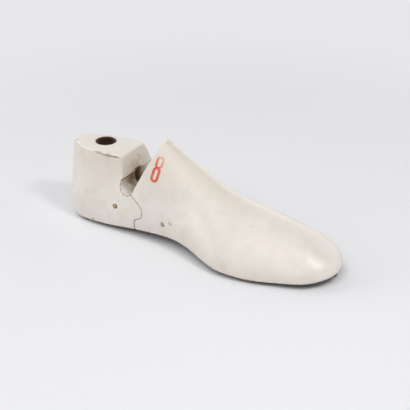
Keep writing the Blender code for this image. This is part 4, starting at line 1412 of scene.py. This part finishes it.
# Grease and painted shade on the walls of each mortise: how far past them it reaches, its fade and its
# colour.
SLOT_PAINT = 0.0004
SLOT_FADE = 0.0003
SLOT_OIL = "8A7054"


# A wax stain round a pin hole, with painted shade at the rim of the hole.
def pin_stain(add, place, colour, node):
    mask = near(add, place, middle(node), PIN_STAIN * 0.3, PIN_STAIN, flatten=(1, 0, 1))
    return laid_over(add, place, colour, mask, PIN_WAX, (2.0, 0.30, 0.70))


def v_grime(add, place, colour):
    """Grime and painted shade in the V, where no hand wipes; darkest round the mouth of the mortise."""
    offset = add("VectorMath", {0: place, 1: V_GRIME_CENTRE + SHIFT}, operation="SUBTRACT")
    squeezed = add("VectorMath", {0: offset, 1: V_GRIME_REACH}, operation="DIVIDE")
    away = add("VectorMath", {0: squeezed}, operation="LENGTH")
    broad = add("MapRange", {0: away, **BROAD_GRIME}, **SOFT)
    deep = add("MapRange", {0: away, **DEEP_GRIME}, **SOFT)
    runs = add("Mapping", {"Vector": place, **V_GRIME_RUNS})
    colour = laid_over(add, runs, colour, broad, BROAD_GRIME_COLOUR, (2.2, 0.28, 0.68))
    return laid_over(add, place, colour, deep, DEEP_GRIME_COLOUR, (3.0, 0.15, 0.60))


def pocket_grime(add, place, colour):
    """Old dirt and painted shade in the round pocket: none at its two mouths, brown towards its middle.
    """
    centre = Vector((POCKET.x, POCKET_MIDDLE_Y, POCKET.y)) + SHIFT
    inside = near(add, place, centre, POCKET_RADIUS * 1.05, POCKET_RADIUS * 1.12, flatten=(1, 0, 1))
    depth = add("SeparateXYZ", {0: place}).outputs["Y"]
    off_middle = add("Math", {0: depth, 1: centre.y}, operation="SUBTRACT")
    distance = add("Math", {0: off_middle}, operation="ABSOLUTE")
    deep = add("MapRange", {0: distance, **POCKET_GRIME})
    mask = add("Math", {0: inside, 1: deep}, operation="MULTIPLY")
    return laid_over(add, place, colour, mask, POCKET_GRIME_COLOUR, (4.0, 0.0, 0.55))


def slot_oil(add, place, colour, outline):
    """Brown grease and painted shade on the walls of a mortise, in a box a little wider than it all
    round.
    """
    xs, zs = [p.x for p in outline], [p.y for p in outline]
    low = Vector((min(xs), FRONT_PIN.y - SLOT_WIDTH / 2, min(zs))) - Vector((0, SLOT_PAINT, SLOT_PAINT))
    high = Vector((max(xs), FRONT_PIN.y + SLOT_WIDTH / 2, max(zs))) + Vector((0, SLOT_PAINT, SLOT_PAINT))
    offset = add("VectorMath", {0: place, 1: (low + high) / 2 + SHIFT}, operation="SUBTRACT")
    size = add("VectorMath", {0: offset}, operation="ABSOLUTE")
    over = add("VectorMath", {0: size, 1: (high - low) / 2}, operation="SUBTRACT")
    x, y, z = add("SeparateXYZ", {0: over}).outputs
    widest = add("Math", {0: x, 1: y}, operation="MAXIMUM")
    outside = add("Math", {0: widest, 1: z}, operation="MAXIMUM")
    mask = add("MapRange", {0: outside, 1: SLOT_FADE, 2: 0.0}, **SOFT)
    return laid_over(add, place, colour, mask, SLOT_OIL)


print("grime reaches", in_mm(V_GRIME_REACH), "mm from the mouth of the mortise")

# %% Marks of the forepart
# A dot on the instep, dirt over the ball's edge and dirt on the tip of the cone.
FOREPART_SPOTS = (((0.2008, -0.0181, 0.0407), 0.0012, 0.5, "B08F80"),
                  ((0.1889, -0.0458, 0.0118), 0.0060, 0.2, "A39076"),
                  ((0.1030, 0.0039, 0.0883), 0.0050, 0.3, "A8926F"))


def forepart_marks(add, place, colour):
    colour = spots(add, place, pin_stain(add, place, colour, "front_pin"), FOREPART_SPOTS)
    colour = pocket_grime(add, place, v_grime(add, place, colour))
    return stamp_figure(add, place, slot_oil(add, place, colour, forepart_slot()))


forepart.data.materials.clear()
forepart.data.materials.append(aged_polyethylene("aged polyethylene, stamped forepart", forepart_marks))
print("forepart painted")

# %% Marks of the heelpart
FLAT_TOP = HEEL_HEIGHT + SHIFT.z
SAWN = {1: FLAT_TOP - 0.0016, 2: FLAT_TOP - 0.0003, 4: 0.95}
SAWN_COLOUR = "E1DBD2"
# The ledge at the back of the pocket, and the depths at which its dark line, dirt with painted
# shadow, is full and faint.
LEDGE = Vector((0.0665, 0, 0.0502))
LEDGE_LINE = 0.0007
LEDGE_FADES = {1: 0.0060, 2: 0.0160, 3: 1.0, 4: 0.3}
LEDGE_COLOUR = "5A4836"
THIMBLE_RUST_REACH = THIMBLE_RADIUS * 1.35
THIMBLE_RUST = "8F6B52"
RIM_SMEAR_START = Vector((0.0335, -0.0168, 0.0676))
RIM_SMEAR_END = Vector((0.0640, -0.0158, 0.0705))
RIM_LINE_WIDTH = 0.00024
RIM_LINE_STRENGTH = 0.95
RIM_LINE_COLOUR = "7C6A54"
RIM_WOBBLE = 0.0020
# Each scratch: height over the start, rise per metre and the shares of the length between which it runs.
RIM_SCRATCHES = ((0.0030, 0.01, 0.00, 0.70), (0.0020, 0.02, 0.10, 0.95), (0.0008, 0.04, 0.35, 1.00))
# Rust on the bottom edge and at the back of the top, a pit, an ochre stain and a scuff on the rim.
HEEL_SPOTS = (((0.0381, -0.0287, 0.0062), 0.0020, 0.9, "7F4E30"),
              ((0.0085, -0.0079, 0.0713), 0.0022, 0.7, "96694A"),
              ((0.0660, -0.0260, 0.0317), 0.0009, 0.6, "8F7C66"),
              ((0.0747, -0.0279, 0.0213), 0.0090, 0.3, "D6C9A0"),
              ((0.0497, -0.0170, 0.0700), 0.0050, 0.2, "8A7660"))


def rim_scratches(add, place, colour):
    """Three dark scratches that run along the outer rim of the flat top."""
    along = (RIM_SMEAR_END - RIM_SMEAR_START).normalized()
    length = (RIM_SMEAR_END - RIM_SMEAR_START).length
    start = RIM_SMEAR_START + SHIFT
    offset = add("VectorMath", {0: place, 1: start}, operation="SUBTRACT")
    run = add("VectorMath", {0: offset, 1: along}, operation="DOT_PRODUCT")
    height = add("SeparateXYZ", {0: offset}).outputs["Z"]
    side = add("SeparateXYZ", {0: place}).outputs["Y"]
    wobble = add("TexNoise", {"Vector": place, "Scale": per(9), "Detail": 2.0})
    for rise, lean, first, last in RIM_SCRATCHES:
        line = add("Math", {0: run, 1: lean, 2: rise - RIM_WOBBLE / 2}, operation="MULTIPLY_ADD")
        wavy = add("Math", {0: wobble, 1: RIM_WOBBLE, 2: line}, operation="MULTIPLY_ADD")
        gap = add("Math", {0: height, 1: wavy}, operation="SUBTRACT")
        away = add("Math", {0: gap}, operation="ABSOLUTE")
        dark = add("MapRange", {0: away, 1: RIM_LINE_WIDTH * 1.8, 2: RIM_LINE_WIDTH * 0.4,
                                4: RIM_LINE_STRENGTH}, **SOFT)
        # The scratch is kept between its two ends, and only on the outer side of the rim.
        for value, none, full in ((run, length * first, length * first + 0.0030),
                                  (run, length * last, length * last - 0.0040),
                                  (side, start.y + 0.0030, start.y + 0.0015)):
            kept = add("MapRange", {0: value, 1: none, 2: full}, **SOFT)
            dark = add("Math", {0: dark, 1: kept}, operation="MULTIPLY")
        colour = laid_over(add, place, colour, dark, RIM_LINE_COLOUR, (5.0, 0.30, 0.50))
    return colour


def heelpart_marks(add, place, colour):
    parts = add("SeparateXYZ", {0: place}).outputs
    sawn = add("MapRange", {0: parts["Z"], **SAWN}, **SOFT)
    colour = pin_stain(add, place, laid_over(add, place, colour, sawn, SAWN_COLOUR), "rear_pin")
    colour = pocket_grime(add, place, v_grime(add, place, colour))
    # A dark line along the ledge: dirt with painted shadow, fainter deeper in.
    line = near(add, place, LEDGE + SHIFT, LEDGE_LINE * 0.3, LEDGE_LINE, flatten=(1, 0, 1))
    fainter = add("MapRange", {0: parts["Y"], **LEDGE_FADES})
    ledge = add("Math", {0: line, 1: fainter}, operation="MULTIPLY")
    colour = laid_over(add, place, colour, ledge, LEDGE_COLOUR, (3.0, 0.20, 0.40))
    colour = slot_oil(add, place, colour, heel_slot())
    rust = near(add, place, THIMBLE + SHIFT, THIMBLE_RUST_REACH * 0.3, THIMBLE_RUST_REACH)
    colour = laid_over(add, place, colour, rust, THIMBLE_RUST, (2.5, 0.30, 0.70))
    return rim_scratches(add, place, spots(add, place, colour, HEEL_SPOTS))


heelpart.data.materials.clear()
heelpart.data.materials.append(aged_polyethylene("aged polyethylene, heelpart", heelpart_marks))
print("heelpart painted")

# %% [markdown]
# ## Steel, black and brown
#
# One recipe serves every steel: a clean colour, a second colour in patches, and rust in smaller
# patches on top, with small stains where they show. The plates are hot-rolled sheet with its
# blue-black mill scale, rubbed through to grey and brown at the rim. The thimble and the nails are
# mild steel under rust. The link and the saddle are oiled and still metallic, the spring is drawn
# wire, and the pins carry wax and dust on their ends; the rear one has painted light and shadow.

# %% Steel materials
# The rear pin's end has painted light at its upper left, on a rusty dark brown that also stands for
# the shadow in its shallow hole. The front one is dark from its upper left to its lower right.
REAR_PIN_SPOTS = (((0.0622, -0.0270, 0.0256), 0.0024, 1.0, "E4BE90"),)
FRONT_PIN_SPOTS = (((0.1148, -0.0275, 0.0227), 0.0016, 0.9, "8C7760"),
                   ((0.1158, -0.0275, 0.0210), 0.0016, 0.9, "8C7760"))
# Each steel: its name, the clean, the second and the rust colour, the share of rust, roughness,
# metallic, size of the patches in mm, and spots.
STEELS = {
    "plate": ("hot-rolled steel with mill scale", "2B2A2A", "4A4744", "5A3F2C", 0.25, 0.50, 0.7, 14),
    "thimble": ("mild steel socket, rusted dark", "33241E", "261A17", "573629", 0.55, 0.65, 0.4, 6),
    "nail": ("bare mild steel, rusted", "4F3A2E", "3A2720", "6E4128", 0.75, 0.65, 0.5, 5),
    "link": ("oiled stamped steel", "6A655E", "544E47", "5F4733", 0.35, 0.38, 0.9, 8),
    "spring": ("drawn spring wire", "77756F", "5B5853", "5F4733", 0.20, 0.32, 0.95, 4),
    "rear_pin": ("rusted pin under brown wax", "7C6148", "6A4F38", "5A3A26", 0.30, 0.70, 0.1, 5,
                 REAR_PIN_SPOTS),
    "front_pin": ("rusted pin under pale wax", "CFC3B0", "C0B29C", "A08A70", 0.10, 0.70, 0.1, 4,
                  FRONT_PIN_SPOTS),
    "stop_pin": ("rusted pin under dust", "DCD3C6", "CFC5B6", "B5A48E", 0.10, 0.70, 0.1, 4),
}
SECOND_TONE = {1: 0.40, 2: 0.65}
RUST_STARTS = 0.75
RUST_SPREADS = 0.12
RIM_RUST = 0.35
RUST_METALLIC = 0.1
RUST_ROUGHNESS = 0.85
PIT_DEPTH = 0.00006
RIM_REACH = PLATE_INSET + 2 * PLATE_THICKNESS


def steel(name, clean, worn, rust, rust_share, roughness, metallic, patch, table=()):
    """Steel with a second tone in patches, and rust where fine noise is high or the rim is near."""
    material, add, shader, place = start_material(name)
    grain = {"Vector": place, "Detail": 6.0, "Roughness": 0.6}
    broad = add("TexNoise", {**grain, "Scale": per(patch)})
    fine = add("TexNoise", {**grain, "Scale": per(patch / 5)})
    rim = add("Attribute", attribute_name="rim").outputs["Fac"]
    tone = add("MapRange", {0: broad, **SECOND_TONE})
    start = RUST_STARTS - rust_share / 2
    nearer = add("Math", {0: rim, 1: RIM_RUST, 2: fine}, operation="MULTIPLY_ADD")
    rusty = add("MapRange", {0: nearer, 1: start, 2: start + RUST_SPREADS})
    colour = laid_over(add, place, linear(clean), tone, worn)
    colour = spots(add, place, laid_over(add, place, colour, rusty, rust), table)
    metal = add("MapRange", {0: rusty, 3: metallic, 4: RUST_METALLIC})
    rough = add("MapRange", {0: rusty, 3: roughness, 4: RUST_ROUGHNESS})
    pits = add("Math", {0: fine, 1: PIT_DEPTH}, operation="MULTIPLY")
    bump = add("Bump", {"Height": pits, "Strength": 1.0, "Distance": 1.0})
    set_inputs(shader, {"Base Color": colour, "Metallic": metal, "Roughness": rough, "Normal": bump})
    return material


def mark_rim(plate):
    """Store 1 on the points of a plate's rim and 0 on the others."""
    rim = plate.data.attributes.new("rim", "FLOAT", "POINT")
    for point, value in zip(plate.data.vertices, rim.data):
        value.value = float(feather_tree.find(point.co - SHIFT)[2] < RIM_REACH)


for plate in (heel_plate, forepart_plate):
    mark_rim(plate)
steels = {use: steel(*recipe) for use, recipe in STEELS.items()}
print("steels:", [material.name for material in steels.values()])

# %% [markdown]
# ## Putting it together
#
# Each piece rides on the body that carries it and hides the node that it replaces, and the steel
# pieces get their finish.


def hand_over(piece, body, node, use=None):
    """Tie a piece to its body and hide the node that it replaces; use picks its steel."""
    if use:
        piece.data.materials.clear()
        piece.data.materials.append(steels[use])
    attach(piece, body)
    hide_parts(node)


hand_over(forepart, "forepart", "forepart")
hand_over(heelpart, "heel", "heelpart")
hand_over(forepart_plate, "forepart", "forepart_plate", "plate")
hand_over(heel_plate, "heel", "heel_plate", "plate")
hand_over(thimble, "heel", "thimble", "thimble")
hand_over(link, "link", "hinge_link", "link")
hand_over(saddle, "saddle", "spring_saddle", "link")
hand_over(spring, "link", "hinge_spring", "spring")
for node, pin in pins.items():
    hand_over(pin, "heel" if node == "rear_pin" else "forepart", node, node)
for node, nail in nails.items():
    hand_over(nail, "heel" if node.startswith("heel") else "forepart", node, "nail")

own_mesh(spring)
print("handed over", 8 + len(pins) + len(nails), "pieces")
